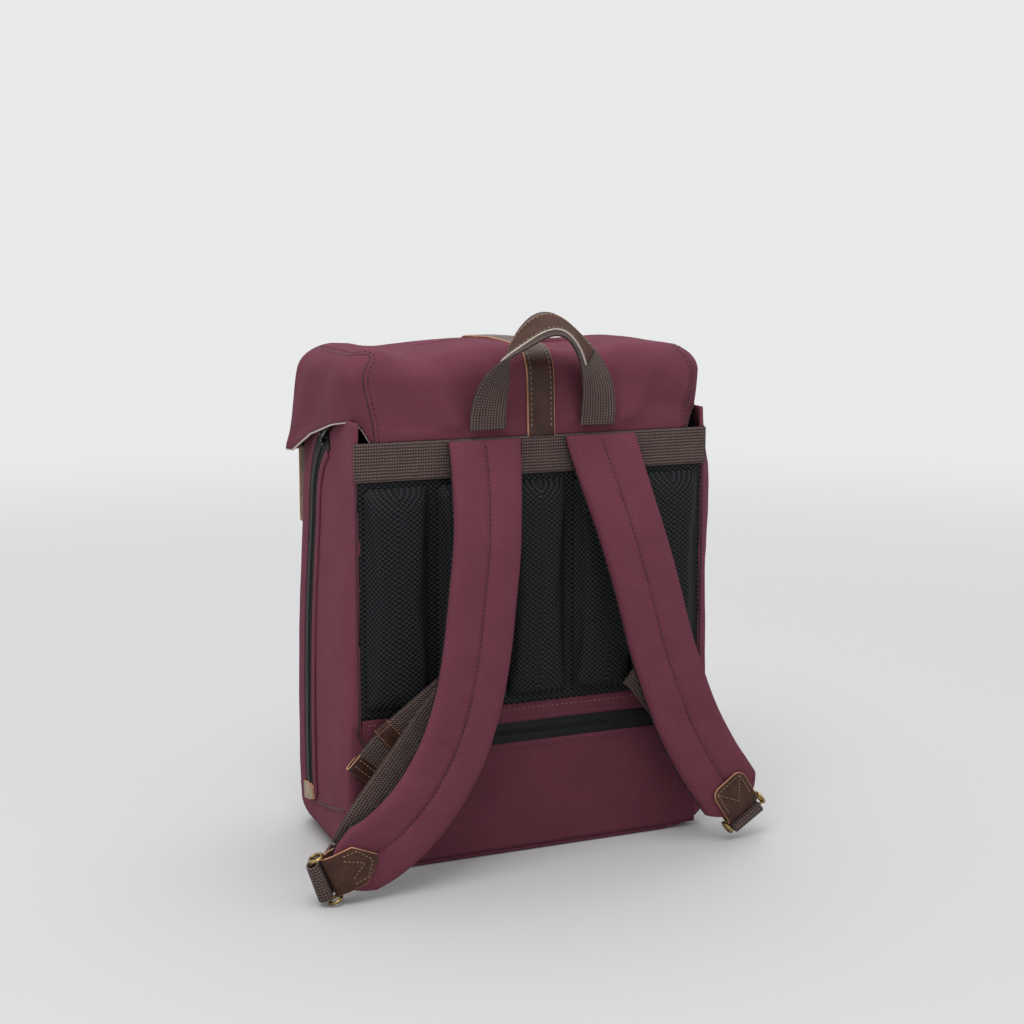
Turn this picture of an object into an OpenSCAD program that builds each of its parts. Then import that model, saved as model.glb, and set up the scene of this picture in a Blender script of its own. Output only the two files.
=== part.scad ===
// Travel backpack with a hooded lid, padded mesh back and two shoulder straps.
// Millimetres. The origin is at the middle of the base, +Z is up, the harness faces -Y.

/* [Body] */
// Width of the body at its base
body_w = 320; // [290:1:350]
// Width of the body at its top edge
top_w = 301; // [280:1:320]
// Depth from the back panel to the front panel
body_d = 150; // [120:1:190]
// Height of the seam that joins lid, straps and back panel
seam_z = 347; // [300:1:400]
// Thickness of the padded canvas wall
wall = 2.4; // [1.5:0.1:4]

/* [Lid] */
// Height of the top of the lid
lid_top_z = 412; // [395:1:440]
// How far the lid's flaps stand outside the body
lid_over = 10; // [9:0.5:13]
// Thickness of the lid's canvas and its interlining
lid_t = 3; // [2:0.1:4]

/* [Back] */
// Height of the lower edge of the mesh panel
mesh_z = 126; // [100:1:160]
// Width of the webbing used for band, handle and adjusters
web_w = 30; // [25:1:38]
// Thickness of the webbing
web_t = 1.6; // [1:0.1:2.5]
// How far the back pads stand out from the panel
pad_t = 6.5; // [4:0.5:8]

/* [Straps] */
// Width of a shoulder strap
strap_w = 56; // [50:1:64]
// Thickness of a shoulder strap in its middle stretch
strap_t = 13; // [10:0.5:15]
// Distance of the harness's middle line from the middle of the body
harness_x = 4; // [0:0.5:6]

/* [Zips] */
// Exposed width of the side zip's tapes
side_zip_w = 24; // [16:1:28]
// Exposed width of the back pocket's tapes
pocket_zip_w = 17; // [12:1:20]
// Width of a zip's row of teeth
coil_w = 5; // [4:0.5:6]

/* [Hidden] */

canvas = "#6e3546";
mesh_black = "#15171b";
webbing_brown = "#54443c";
leather = "#3a241c";
brass = "#a98d4d";
gap = 0.3;
back_y = -body_d / 2;
front_y = body_d / 2;
curve_z = 26;
shell_top_z = 359;
base_inset = 11;
base_t = 4;
panel_half_w = 148;
big = 600;
round_fn = 32;

// ---------- shared shapes ----------

function unit(v) = v / norm(v);

function spline_at(a, b, c, d, t) =
    0.5 * (2 * b + (c - a) * t + (2 * a - 5 * b + 4 * c - d) * t * t
        + (3 * b - a - 3 * c + d) * t * t * t);

// A smooth curve through the points of a route
function spline(route, steps) = let (last = len(route) - 1) [
    for (i = [0:last - 1], k = [0:steps - 1])
        spline_at(route[max(i - 1, 0)], route[i], route[i + 1], route[min(i + 2, last)], k / steps),
    route[last]];

function tangent(path, i) = unit(path[min(i + 1, len(path) - 1)] - path[max(i - 1, 0)]);

// Width direction of a band whose face looks along a given direction
function across(path, i, face) = unit(cross(tangent(path, i), face));

// Closed skin over a row of rings with the same number of points
module loft(rings) {
    n = len(rings[0]);
    m = len(rings);
    sides = [for (i = [0:m - 2], j = [0:n - 1]) let (a = i * n + j, b = i * n + (j + 1) % n)
        each [[a, b + n, a + n], [a, b, b + n]]];
    first_cap = [for (j = [1:n - 2]) [0, j + 1, j]];
    last_cap = [for (j = [1:n - 2]) [(m - 1) * n, (m - 1) * n + j, (m - 1) * n + j + 1]];
    polyhedron([for (r = rings) each r], concat(sides, first_cap, last_cap));
}

// Rings of a flat band: its width lies along wide(i), offset lifts it off the path
function band_rings(path, wides, w, t, lift = 0) = [for (i = [0:len(path) - 1])
    let (side = wides[i], up = unit(cross(side, tangent(path, i))), c = path[i] + up * lift)
    [c - side * w / 2 - up * t / 2, c + side * w / 2 - up * t / 2,
     c + side * w / 2 + up * t / 2, c - side * w / 2 + up * t / 2]];

module rounded_rect(w, d, r) {
    square([w - 2 * r, d], center = true);
    square([w, d - 2 * r], center = true);
    for (x = [-1, 1], y = [-1, 1])
        translate([x * (w / 2 - r), y * (d / 2 - r)]) circle(r, $fn = round_fn);
}

module slab(w, d, z, r) {
    translate([0, 0, z]) linear_extrude(0.5) rounded_rect(w, d, r);
}

module side_pair(side) {
    if (side < 0) mirror([1, 0, 0]) children();
    else children();
}

// ---------- body ----------

// The filled outline of the body, grown outwards by a margin
module body_form(grow, top = shell_top_z) {
    hull() {
        slab(body_w - 2 * base_inset + 2 * grow, body_d - 6 + 2 * grow, 1 - grow, 30);
        slab(body_w + 2 * grow, body_d + 2 * grow, curve_z, 16);
        slab(top_w + 2 * grow, body_d + 2 * grow, top, 16);
    }
}

// Half the body's width at a height on its straight sides
function half_w(z) = body_w / 2 - (body_w - top_w) / 2 * (z - curve_z) / (shell_top_z - curve_z);

// The part of the rear wall that the back panels take
module back_window(margin, z_low, z_high) {
    translate([-panel_half_w + margin, back_y - 20, z_low])
        cube([2 * (panel_half_w - margin), 20 + wall + 0.8 - margin, z_high - z_low]);
}

module hollow_wall(outer, inner, top = shell_top_z) {
    difference() {
        body_form(outer, top);
        translate([0, 0, 0.01]) body_form(inner, top + 20);
    }
}

module base_panel() {
    color(canvas) linear_extrude(base_t)
        rounded_rect(body_w - 2 * base_inset - 12, body_d - 18, 24);
}

module base_piping() {
    color(canvas) translate([0, 0, 0.6]) linear_extrude(base_t - 1) difference() {
        rounded_rect(body_w - 2 * base_inset, body_d - 6, 30);
        rounded_rect(body_w - 2 * base_inset - 12 + 2 * gap, body_d - 18 + 2 * gap, 24);
    }
}

module main_shell() {
    color(canvas) difference() {
        hollow_wall(0, -wall);
        translate([-big / 2, -big / 2, -10]) cube([big, big, 10 + base_t + gap]);
        back_window(0, -10, big);
        side_zip_band(side_zip_w / 2, 0);
    }
}

module lining() {
    color("#2b2a2c") difference() {
        hollow_wall(-wall - gap, -wall - gap - 0.8, seam_z - 10);
        translate([-big / 2, -big / 2, -10]) cube([big, big, 10 + 8]);
        translate([-big / 2, back_y - 20, -10]) cube([big, 20 + 8, big]);
    }
}

module frame_sheet() {
    color("#202022") translate([-138, back_y + wall + 1.2, 32]) cube([276, 1.5, seam_z - 50]);
}

// A flat pocket that stands against the frame sheet and opens upwards
module laptop_sleeve() {
    w = 264;
    d = 24;
    h = 250;
    color("#2b2a2c") translate([-w / 2, back_y + wall + 3, 16]) difference() {
        cube([w, d, h]);
        translate([1.6, 1.6, 1.6]) cube([w - 3.2, d - 3.2, h]);
    }
}

module snap_stud() {
    color(brass) translate([harness_x, front_y + gap, 292]) rotate([-90, 0, 0]) {
        cylinder(d = 12, h = 0.8, $fn = 48);
        cylinder(d = 5, h = 1.8, $fn = 48);
    }
}

// ---------- back ----------

pocket_zip_z = 102;
pocket_zip_half = 112;

module back_panel() {
    color(canvas) difference() {
        intersection() {
            hollow_wall(0, -wall);
            back_window(gap, base_t + gap, mesh_z - gap);
        }
        translate([-pocket_zip_half, back_y - 5, pocket_zip_z - pocket_zip_w / 2])
            cube([2 * pocket_zip_half, 15, pocket_zip_w]);
    }
}

module back_mesh() {
    color(mesh_black) translate([-panel_half_w + gap, back_y, mesh_z])
        cube([2 * (panel_half_w - gap), wall, seam_z - 4 - mesh_z]);
}

module back_band() {
    color(webbing_brown) translate([-panel_half_w - 3, back_y - gap - web_t, seam_z - 4 - web_w])
        cube([2 * panel_half_w + 6, web_t, web_w]);
}

// The mesh channels are parted at fifths of the panel
module back_pad(i) {
    pitch = (2 * panel_half_w - 4) / 5;
    w = pitch - 2;
    h = seam_z - 6 - web_w - mesh_z - 6;
    color(mesh_black) translate([(i - 3) * pitch, back_y - gap, mesh_z + 4 + h / 2])
        rotate([90, 0, 0]) hull() {
            linear_extrude(0.5) rounded_rect(w, h, 4);
            translate([0, 0, pad_t - 0.5]) linear_extrude(0.5) rounded_rect(w - 12, h - 12, 4);
        }
}

module pocket_zip_tape() {
    color(mesh_black)
        translate([-pocket_zip_half + gap, back_y + 0.2, pocket_zip_z - pocket_zip_w / 2 + 0.2])
            cube([2 * (pocket_zip_half - gap), wall - 0.4, pocket_zip_w - 0.4]);
}

module pocket_zip_coil() {
    color("#0c0d0f") translate([-pocket_zip_half + 2, back_y - 1.1, pocket_zip_z - coil_w / 2])
        cube([2 * pocket_zip_half - 4, 1.2, coil_w]);
}

// ---------- zip sliders ----------

slider_l = 12;
slider_w = 9;
slider_h = 2.6;
coil_clear = 1.5;
pull_l = 24;
pull_pin_h = slider_h + 1.3;
pull_pin_d = 1;

// Slider on a coil that runs along X, seen from outside along -Y; the tape lies at y = 0
module zip_slider() {
    difference() {
        translate([-slider_l / 2, -slider_h, -slider_w / 2]) cube([slider_l, slider_h - gap, slider_w]);
        translate([-big, -coil_clear, -coil_w / 2 - 0.4]) cube([2 * big, big, coil_w + 0.8]);
    }
    for (z = [-1, 1])
        translate([-2, -pull_pin_h - 1.2, z * 3.1 - 0.7]) cube([4, 2.8, 1.4]);
    translate([0, -pull_pin_h, -3]) cylinder(d = pull_pin_d, h = 6, $fn = 24);
}

// Pull tab on the slider's pin, lying along the coil
module zip_pull() {
    difference() {
        union() {
            translate([0, -pull_pin_h, -2]) cylinder(d = 1.9 + 0.4, h = 4, $fn = 32);
            translate([0, -pull_pin_h - 0.7, -2]) cube([pull_l, 1.4, 4]);
            translate([pull_l, -pull_pin_h + 0.7, 0]) rotate([90, 0, 0])
                cylinder(d = 7, h = 1.4, $fn = 32);
        }
        translate([0, -pull_pin_h, -5]) cylinder(d = pull_pin_d + 0.1, h = 10, $fn = 32);
    }
}

pocket_park_x = -92;

module at_pocket_slider() {
    translate([pocket_park_x, back_y, pocket_zip_z]) children();
}

module pocket_slider() {
    color("#1a1a1c") at_pocket_slider() zip_slider();
}

module pocket_pull() {
    color("#1a1a1c") at_pocket_slider() zip_pull();
}

// ---------- side zip ----------

side_zip_y = 23;
side_zip_low = 46;
side_zip_bend = 290;
bend_r = 59;
bend_deg = 66;
side_lean = atan((body_w - top_w) / 2 / (shell_top_z - curve_z));

// Outline of the zip seen from the side: a straight run, then a bend towards the back
module side_zip_outline(half) {
    step = bend_deg / 12;
    arc = [for (k = [0:12]) [cos(k * step), sin(k * step)]];
    centre = [side_zip_y - bend_r, side_zip_bend];
    polygon(concat(
        [[side_zip_y - half, side_zip_low], [side_zip_y + half, side_zip_low]],
        [for (d = arc) centre + d * (bend_r + half)],
        [for (k = [12:-1:0]) centre + arc[k] * (bend_r - half)]));
}

module side_zip_band(half, margin) {
    translate([-body_w, 0, 0]) rotate([90, 0, 90]) linear_extrude(body_w / 2 + 60)
        intersection() {
            side_zip_outline(half - margin);
            translate([-big / 2, side_zip_low + margin]) square([big, shell_top_z - 8 - side_zip_low]);
        }
}

module side_zip_tape() {
    color(mesh_black) intersection() {
        hollow_wall(-0.2, -wall + 0.2);
        side_zip_band(side_zip_w / 2, 0.2);
    }
}

module side_zip_coil() {
    color("#0c0d0f") intersection() {
        hollow_wall(1, -0.1);
        side_zip_band(coil_w / 2, 0);
    }
}

module side_zip_patch() {
    color(leather) intersection() {
        hollow_wall(1.8, gap);
        translate([-body_w, 0, 0]) rotate([90, 0, 90]) linear_extrude(body_w)
            polygon([[side_zip_y - 13, 45.5], [side_zip_y + 13, 45.5], [side_zip_y + 13, 31],
                [side_zip_y - 13, 37]]);
    }
}

side_park_deg = 58;

// The slider waits high on the bend, under the lid's flap, and turns about the bend's centre
module at_side_slider() {
    translate([-half_w(side_zip_bend), side_zip_y - bend_r, side_zip_bend]) rotate([0, side_lean, 0])
        rotate([side_park_deg, 0, 0]) translate([0, bend_r, 0])
        rotate([0, 0, -90]) rotate([0, -90, 0]) children();
}

module side_slider() {
    color("#1a1a1c") at_side_slider() zip_slider();
}

module side_pull() {
    color("#1a1a1c") at_side_slider() zip_pull();
}

// ---------- front pocket ----------

pocket_w = 236;
pocket_h = 176;
pocket_d = 20;
pocket_low = 34;
front_zip_z = pocket_low + pocket_h - 26;
front_zip_half = 104;

module front_pocket() {
    color(canvas) translate([0, front_y + gap, pocket_low + pocket_h / 2]) rotate([-90, 0, 0])
        difference() {
            linear_extrude(pocket_d) rounded_rect(pocket_w, pocket_h, 18);
            translate([0, 0, -1]) linear_extrude(pocket_d - wall + 1)
                rounded_rect(pocket_w - 2 * wall, pocket_h - 2 * wall, 16);
            translate([-front_zip_half, -(front_zip_z - pocket_low - pocket_h / 2) - 7, 0])
                cube([2 * front_zip_half, 14, big]);
        }
}

module front_zip_tape() {
    color(mesh_black) translate([-front_zip_half + gap, front_y + gap + pocket_d - wall + 0.2,
        front_zip_z - 7 + 0.2]) cube([2 * (front_zip_half - gap), wall - 0.4, 14 - 0.4]);
}

module front_zip_coil() {
    color("#0c0d0f") translate([-front_zip_half + 2, front_y + gap + pocket_d - 0.1,
        front_zip_z - coil_w / 2]) cube([2 * front_zip_half - 4, 1.2, coil_w]);
}

module at_front_slider() {
    translate([-92, front_y + gap + pocket_d, front_zip_z]) mirror([0, 1, 0]) children();
}

module front_slider() {
    color("#1a1a1c") at_front_slider() zip_slider();
}

module front_pull() {
    color("#1a1a1c") at_front_slider() zip_pull();
}

// ---------- lid ----------

lid_low_z = 316;

module lid_form(grow) {
    hull() {
        for (level = [[lid_low_z, 0, 0], [385, 2, 4], [lid_top_z, 20, 20]])
            translate([0, lid_over / 2 - 1, level[0] + grow]) slab(top_w + 2 * lid_over + 4 - 2 * level[1] + 2 * grow,
                body_d + lid_over + 4 - 2 * level[2] + 2 * grow, -0.5, 18);
    }
}

// The region above the hem: straight at the back, falling in a curve towards the front
module above_hem(lift) {
    translate([-big / 2, 0, lift]) rotate([90, 0, 90]) linear_extrude(big)
        polygon([[-140, seam_z + gap], [back_y + gap, seam_z + gap], [back_y + gap, 358], [-42, 355],
            [13, 342], [40, 330], [53, 324], [100, 320], [140, 320], [140, 500], [-140, 500]]);
}

// Corners that are cut away between the back piece and the side flaps
module lid_corner_cuts() {
    for (x = [-1, 1])
        translate([x * 193, back_y, 340]) cube([100, 40, 46], center = true);
}

module lid_skin(outer, inner) {
    difference() {
        lid_form(outer);
        translate([0, 0, -0.02]) lid_form(inner);
        translate([-big / 2, -big / 2, lid_low_z - 20]) cube([big, big, 3.5 + 16.5 - 0.01]);
    }
}

module lid_shell() {
    color(canvas) difference() {
        intersection() {
            lid_skin(0, -lid_t);
            above_hem(1.6);
        }
        lid_corner_cuts();
    }
}

module lid_lining() {
    color("#3b2a22") difference() {
        intersection() {
            lid_skin(-lid_t - 0.2, -lid_t - 1);
            above_hem(3);
        }
        lid_corner_cuts();
    }
}

module lid_binding() {
    color("#cbbfb0") difference() {
        intersection() {
            lid_skin(0, -lid_t);
            above_hem(0);
        }
        above_hem(1.4);
        lid_corner_cuts();
    }
}

lid_mid_y = lid_over / 2 - 1;
lid_half_d = (body_d + lid_over + 4) / 2;
strap_lift = 0.4;
lid_strap_t = 2;

// Profile of the lid along its middle, pushed outwards, with the closing tab at its front
function lid_profile(out) = [
    [lid_mid_y - lid_half_d - out, seam_z + 3],
    [lid_mid_y - lid_half_d + 4 - out, 385 + out * 0.3],
    [lid_mid_y - lid_half_d + 20 - out * 0.3, lid_top_z + out],
    [lid_mid_y + lid_half_d - 20 + out * 0.3, lid_top_z + out],
    [lid_mid_y + lid_half_d - 4 + out, 385 + out * 0.3],
    [lid_mid_y + lid_half_d + out, 322],
    [front_y + 2.4 + out, 304],
    [front_y + 2.0 + out, 276]];

module lid_strap() {
    inner = lid_profile(strap_lift);
    outer = lid_profile(strap_lift + lid_strap_t);
    color(leather) translate([harness_x - 12, 0, 0]) rotate([90, 0, 90]) linear_extrude(24)
        polygon(concat(inner, [for (i = [len(outer) - 1:-1:0]) outer[i]]));
}

module snap_cap() {
    color(brass) translate([harness_x, front_y + 4.8, 292]) rotate([-90, 0, 0])
        cylinder(d = 13, h = 1.6, $fn = 48);
}

module corner_tab(side) {
    color("#8d6a4d") translate([side * 143 - 8, front_y + 1.4, 258]) cube([16, 2, 66]);
}

// ---------- handle ----------

// Points of the handle's left half: sideways from its middle, out from the back seam, up
handle_half = [[47, 4.7, seam_z + 2.6], [47, 6.2, 362], [45, 9, 378], [38, 12, 396], [26, 15, 414],
    [12, 17.5, 427], [0, 18, 431]];
handle_route = [
    for (p = handle_half) [harness_x - p[0], back_y - p[1], p[2]],
    for (i = [len(handle_half) - 2:-1:0]) [harness_x + handle_half[i][0],
        back_y - handle_half[i][1], handle_half[i][2]]];
handle_path = spline(handle_route, 6);
handle_tilt = 33;

// The band's width turns from lying along X at the feet to lying front to back at the top
function handle_across(i) = let (
    t = tangent(handle_path, i),
    turn = pow(sin(180 * i / (len(handle_path) - 1)), 2.2),
    flat = unit([1, 0, 0] * (1 - turn) * 1.2 + [0, cos(handle_tilt), sin(handle_tilt)] * turn)
) unit(flat - t * (flat * t));

handle_wides = [for (i = [0:len(handle_path) - 1]) handle_across(i)];

module handle_webbing() {
    color(webbing_brown) loft(band_rings(handle_path, handle_wides, web_w, 2.6));
}

module handle_leather() {
    n = len(handle_path);
    part = [for (i = [18:n - 19]) handle_path[i]];
    wides = [for (i = [18:n - 19]) handle_wides[i]];
    color(leather) loft(band_rings(part, wides, 20, 1.6, -4));
}

// ---------- shoulder straps ----------

// Strap routes: sideways from the harness line, out from the back, up
strap_right = [[49.5, 5.2, seam_z - 5.5], [55, 16, 312], [65, 32, 266], [76, 39, 222], [86, 43, 180],
    [97, 45, 146], [112, 46, 108], [131, 45, 74], [147, 44, 51], [162, 42, 30]];
strap_left = [[49.5, 5.2, seam_z - 5.5], [52, 16, 312], [58, 32, 266], [65, 39, 222], [72, 44, 180],
    [81, 47, 142], [96, 49, 104], [120, 50, 68], [151, 50, 41], [186, 49, 26]];

function placed(route) = [for (p = route) [p[0], back_y - p[1], p[2]]];
function strap_path(side) = spline(placed(side < 0 ? strap_left : strap_right), 3);

// A strap starts straight down from its seam, so that its sewn end is level
function strap_dir(path, i) = i == 0 ? unit([0, -0.3, -1]) : tangent(path, i);

// Outlines across a strap, in halves of its width and thickness
cover_section = [[-1, -0.3], [1, -0.3], [1, 0.3], [0.9, 0.75], [0.6, 1], [-0.6, 1], [-0.9, 0.75],
    [-1, 0.3]];
core_section = [[-0.94, 0], [0.94, 0], [0.94, 0.3], [0.84, 0.64], [0.56, 0.86], [-0.56, 0.86],
    [-0.84, 0.64], [-0.94, 0.3]];
foam_section = [[-0.9, 0.06], [0.9, 0.06], [0.9, 0.26], [0.8, 0.54], [0.54, 0.76], [-0.54, 0.76],
    [-0.8, 0.54], [-0.9, 0.26]];
mesh_section = [[-0.95, -0.5], [-0.86, -0.8], [-0.6, -1], [0.6, -1], [0.86, -0.8], [0.95, -0.5]];

// Thin at the sewn top, full in the middle, thinner and rounded at the end
function strap_thick(u) = strap_t * min(1, 0.3 + u * 5, 0.6 + (1 - u) * 3);
function strap_wide(u) = strap_w * min(max(1, 1.09 - u * 0.45), sqrt(0.22 + (1 - u) * 12));

// Rings of a strap layer from the ring first on; the ends are moved along by reach
function strap_rings(side, section, first, reach_top, reach_end) = let (
    path = strap_path(side), n = len(path) - 1
) [for (i = [first:n]) let (
    u = i / n,
    along = strap_dir(path, i),
    wide = unit(cross(along, [0, -1, 0])),
    up = unit(cross(wide, along)),
    c = path[i] + along * (i == first ? -reach_top : i == n ? reach_end : 0)
) [for (p = section)
    c + wide * p[0] * strap_wide(u) / 2 + up * p[1] * strap_thick(u) / 2]];

module on_harness(side) {
    translate([harness_x, 0, 0]) side_pair(side) children();
}

// Canvas sleeve, open at the sewn top where the foam goes in
module strap_cover(side) {
    color(canvas) on_harness(side) difference() {
        loft(strap_rings(side, cover_section, 0, 0, 0));
        loft(strap_rings(side, core_section, 0, 1, -2.5));
    }
}

module strap_foam(side) {
    color("#d8d4c8") on_harness(side) loft(strap_rings(side, foam_section, 1, -1, -4));
}

module strap_mesh(side) {
    color(mesh_black) on_harness(side) loft(strap_rings(side, mesh_section, 1, 0, 0));
}

// ---------- strap ends ----------

// How far each buckle is turned downwards in the plane of its strap's end
function end_turn(side) = side < 0 ? 2 : 0;

// Directions at a buckle: across its bars, out of the strap's face and along the tab
function end_w0(side) = let (path = strap_path(side)) across(path, len(path) - 1, [0, -1, 0]);
function end_t0(side) = let (path = strap_path(side)) tangent(path, len(path) - 1);
function end_n(side) = unit(cross(end_w0(side), end_t0(side)));
function end_t(side) = let (t = end_t0(side))
    t * cos(end_turn(side)) - cross(end_n(side), t) * sin(end_turn(side));
function end_w(side) = cross(end_t(side), end_n(side));
function buckle_at(side) = let (path = strap_path(side))
    path[len(path) - 1] + end_t0(side) * (side < 0 ? 4.5 : 3) + end_t(side) * 7;

// Places a shape drawn with X across the strap, Y along it and Z out of its face
module at_strap_end(side) {
    x = end_w(side);
    y = end_t(side);
    z = end_n(side);
    p = buckle_at(side);
    on_harness(side) multmatrix([[x[0], y[0], z[0], p[0]], [x[1], y[1], z[1], p[1]],
        [x[2], y[2], z[2], p[2]], [0, 0, 0, 1]]) children();
}

bar_gap = 5;
bar_r = 1.2;
ring_r = 5;
ring_x = 19;

module buckle(side) {
    color(brass) at_strap_end(side) {
        for (y = [-1, 1])
            translate([-ring_x, y * bar_gap, 0]) rotate([0, 90, 0])
                cylinder(r = bar_r, h = 2 * ring_x, $fn = 32);
        for (x = [-1, 1])
            translate([x * ring_x, 0, 0]) rotate([0, 90, 0]) rotate_extrude($fn = 48)
                translate([ring_r, 0]) circle(r = bar_r + 0.1, $fn = 20);
    }
}

tab_w = 33;
tab_t = 1.8;

// Leather tab: lies on the strap's outer face, wraps the first bar and ends under the strap
module strap_tab(side) {
    face = strap_t * 0.3 + tab_t / 2 + 0.4;
    wrap = bar_r + gap + tab_t / 2;
    route = concat([[-42, face + 2.6], [-28, face + 1.7], [-16, face + 0.8], [-10, face + 0.4]],
        [for (a = [60:-30:-60]) [-bar_gap + wrap * cos(a) * 1.05, wrap * sin(a) * 1.2]],
        [[-10, -face - 0.4], [-16, -face - 0.7], [-26, -face - 1.4]]);
    path = [for (p = route) [0, p[0], p[1]]];
    color(leather) at_strap_end(side)
        loft(band_rings(path, [for (p = path) [1, 0, 0]], tab_w, tab_t));
}

// ---------- adjuster webbing ----------

fold_point = [77, 14, 149];
leg_in = [[150, 3.4, 84], [127, 5.8, 110], [102, 9.6, 131]];
leg_out_right = [[101, 20, 120], [124, 28, 88], [142, 33, 62]];
leg_out_left = [[102, 20, 121], [126, 28, 92], [152, 34, 64]];

// One layer of webbing from the anchor round the fold to the buckle; lift parts the two layers
function web_layer(side, lift) = let (
    end = buckle_at(side) - end_t(side) * 13 - end_n(side) * (8.6 + lift),
    fold = placed([fold_point])[0],
    shift = [0, -lift, 0],
    turn_r = 5.5 - lift,
    turn = unit([0.77, 0, -0.64])
) concat(
    [for (p = placed(leg_in)) p + shift],
    [for (a = [60:-40:-60]) fold + turn * (8 - turn_r * cos(a)) + [0, turn_r * sin(a), 0]],
    [for (p = placed(side < 0 ? leg_out_left : leg_out_right)) p - shift],
    [end]);

// The loop round the buckle's second bar: along the strap and out of its face
web_loop = [[-6, -7.7], [-0.5, -3], [1.6, 2.6], [5, 4.6], [8.6, 2.6], [9.6, -3], [7, -8.2], [0, -10.5]];

// The webbing runs from the anchor to the buckle, round its bar and back along itself
function web_route(side) = let (c = buckle_at(side), back = web_layer(side, 2.1)) concat(
    web_layer(side, 0),
    [for (p = web_loop) c + end_t(side) * p[0] + end_n(side) * p[1]],
    [for (i = [len(back) - 1:-1:0]) back[i]]);

web_flat = unit([0.64, 0, 0.77]);

// The band's width turns from the legs' direction to the buckle's bars
function web_wides(side, path) = [for (i = [0:len(path) - 1]) let (
    t = tangent(path, i),
    near = max(0, 1 - norm(path[i] - buckle_at(side)) / 60),
    flat = unit(web_flat * (1 - near) + end_w(side) * near)
) unit(flat - t * (flat * t))];

module webbing(side) {
    path = spline(web_route(side), 2);
    color(webbing_brown) on_harness(side)
        loft(band_rings(path, web_wides(side, path), web_w, web_t));
}

// Places a shape on the inner leg: X along the webbing, Y away from the back panel, Z across
module at_leg(side, k) {
    p = placed([leg_in[1]])[0];
    q = placed([leg_in[2]])[0];
    x = unit(q - p);
    z = unit(web_flat - x * (web_flat * x));
    y = cross(z, x);
    c = p + (q - p) * k;
    on_harness(side) multmatrix([[x[0], y[0], z[0], c[0]], [x[1], y[1], z[1], c[1]],
        [x[2], y[2], z[2], c[2]], [0, 0, 0, 1]]) children();
}

// Leather loop that holds the two layers of webbing together
module keeper(side) {
    t = 1.5;
    in_y = 2 * web_t + 2.2;
    in_z = web_w + 3;
    color(leather) at_leg(side, 0) translate([0, 1.05, 0]) difference() {
        cube([13, in_y + 2 * t, in_z + 2 * t], center = true);
        cube([20, in_y, in_z], center = true);
    }
}

module web_tip(side) {
    p = placed([leg_in[0]])[0];
    color(leather) on_harness(side) translate(p + [4, -2.6, -6]) rotate([0, 48, 0])
        cube([16, 3.2, web_w + 1], center = true);
}

// Canvas gusset on the side seam that the webbing is sewn into
module anchor(side) {
    color(canvas) side_pair(side) translate([0, back_y - gap, 0]) rotate([90, 0, 0])
        linear_extrude(3) polygon([[half_w(122) - 3, 122], [half_w(60) - 3, 60], [140, 80], [141, 92]]);
}

base_panel();
base_piping();
main_shell();
lining();
frame_sheet();
laptop_sleeve();
back_panel();
back_mesh();
back_band();
back_pad(1);  // back_pad_1
back_pad(2);  // back_pad_2
back_pad(3);  // back_pad_3
back_pad(4);  // back_pad_4
back_pad(5);  // back_pad_5
pocket_zip_tape();
pocket_zip_coil();
pocket_slider();
pocket_pull();
side_zip_tape();
side_zip_coil();
side_zip_patch();
side_slider();
side_pull();
front_pocket();
front_zip_tape();
front_zip_coil();
front_slider();
front_pull();
snap_stud();
lid_shell();
lid_lining();
lid_binding();
lid_strap();
snap_cap();
corner_tab(-1);  // corner_tab_left
corner_tab(1);  // corner_tab_right
handle_webbing();
handle_leather();
anchor(-1);  // anchor_left
anchor(1);  // anchor_right
strap_cover(-1);  // strap_left_cover
strap_foam(-1);  // strap_left_foam
strap_mesh(-1);  // strap_left_mesh
strap_tab(-1);  // strap_left_tab
buckle(-1);  // buckle_left
webbing(-1);  // webbing_left
keeper(-1);  // keeper_left
web_tip(-1);  // web_tip_left
strap_cover(1);  // strap_right_cover
strap_foam(1);  // strap_right_foam
strap_mesh(1);  // strap_right_mesh
strap_tab(1);  // strap_right_tab
buckle(1);  // buckle_right
webbing(1);  // webbing_right
keeper(1);  // keeper_right
web_tip(1);  // web_tip_right
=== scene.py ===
import math

import bpy
import numpy as np
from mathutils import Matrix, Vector, noise


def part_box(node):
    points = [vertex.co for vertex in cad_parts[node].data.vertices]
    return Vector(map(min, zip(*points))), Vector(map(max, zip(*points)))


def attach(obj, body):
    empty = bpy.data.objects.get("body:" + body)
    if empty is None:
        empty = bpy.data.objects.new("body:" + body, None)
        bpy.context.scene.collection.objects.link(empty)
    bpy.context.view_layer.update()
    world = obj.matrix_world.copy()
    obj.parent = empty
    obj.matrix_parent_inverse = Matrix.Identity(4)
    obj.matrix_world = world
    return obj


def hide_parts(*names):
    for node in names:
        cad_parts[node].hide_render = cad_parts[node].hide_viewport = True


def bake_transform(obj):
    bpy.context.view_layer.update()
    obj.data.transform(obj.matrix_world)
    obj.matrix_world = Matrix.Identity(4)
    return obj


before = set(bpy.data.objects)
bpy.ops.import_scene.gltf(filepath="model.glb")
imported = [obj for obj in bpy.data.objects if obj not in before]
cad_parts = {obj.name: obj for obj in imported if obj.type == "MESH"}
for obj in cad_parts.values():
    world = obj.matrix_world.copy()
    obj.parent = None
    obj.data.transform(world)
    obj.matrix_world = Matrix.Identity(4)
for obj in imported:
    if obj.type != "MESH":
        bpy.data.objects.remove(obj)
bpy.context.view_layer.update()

MM = 0.001
UP = np.array([0.0, 0.0, 1.0])
OUT = np.array([0.0, -1.0, 0.0])
HARNESS_X = 4.0


def box(node):
    low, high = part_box(node)
    return np.array(low) / MM, np.array(high) / MM


def step(a, b, x):
    t = np.clip((x - a) / (b - a), 0, 1)
    return t * t * (3 - 2 * t)


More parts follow.
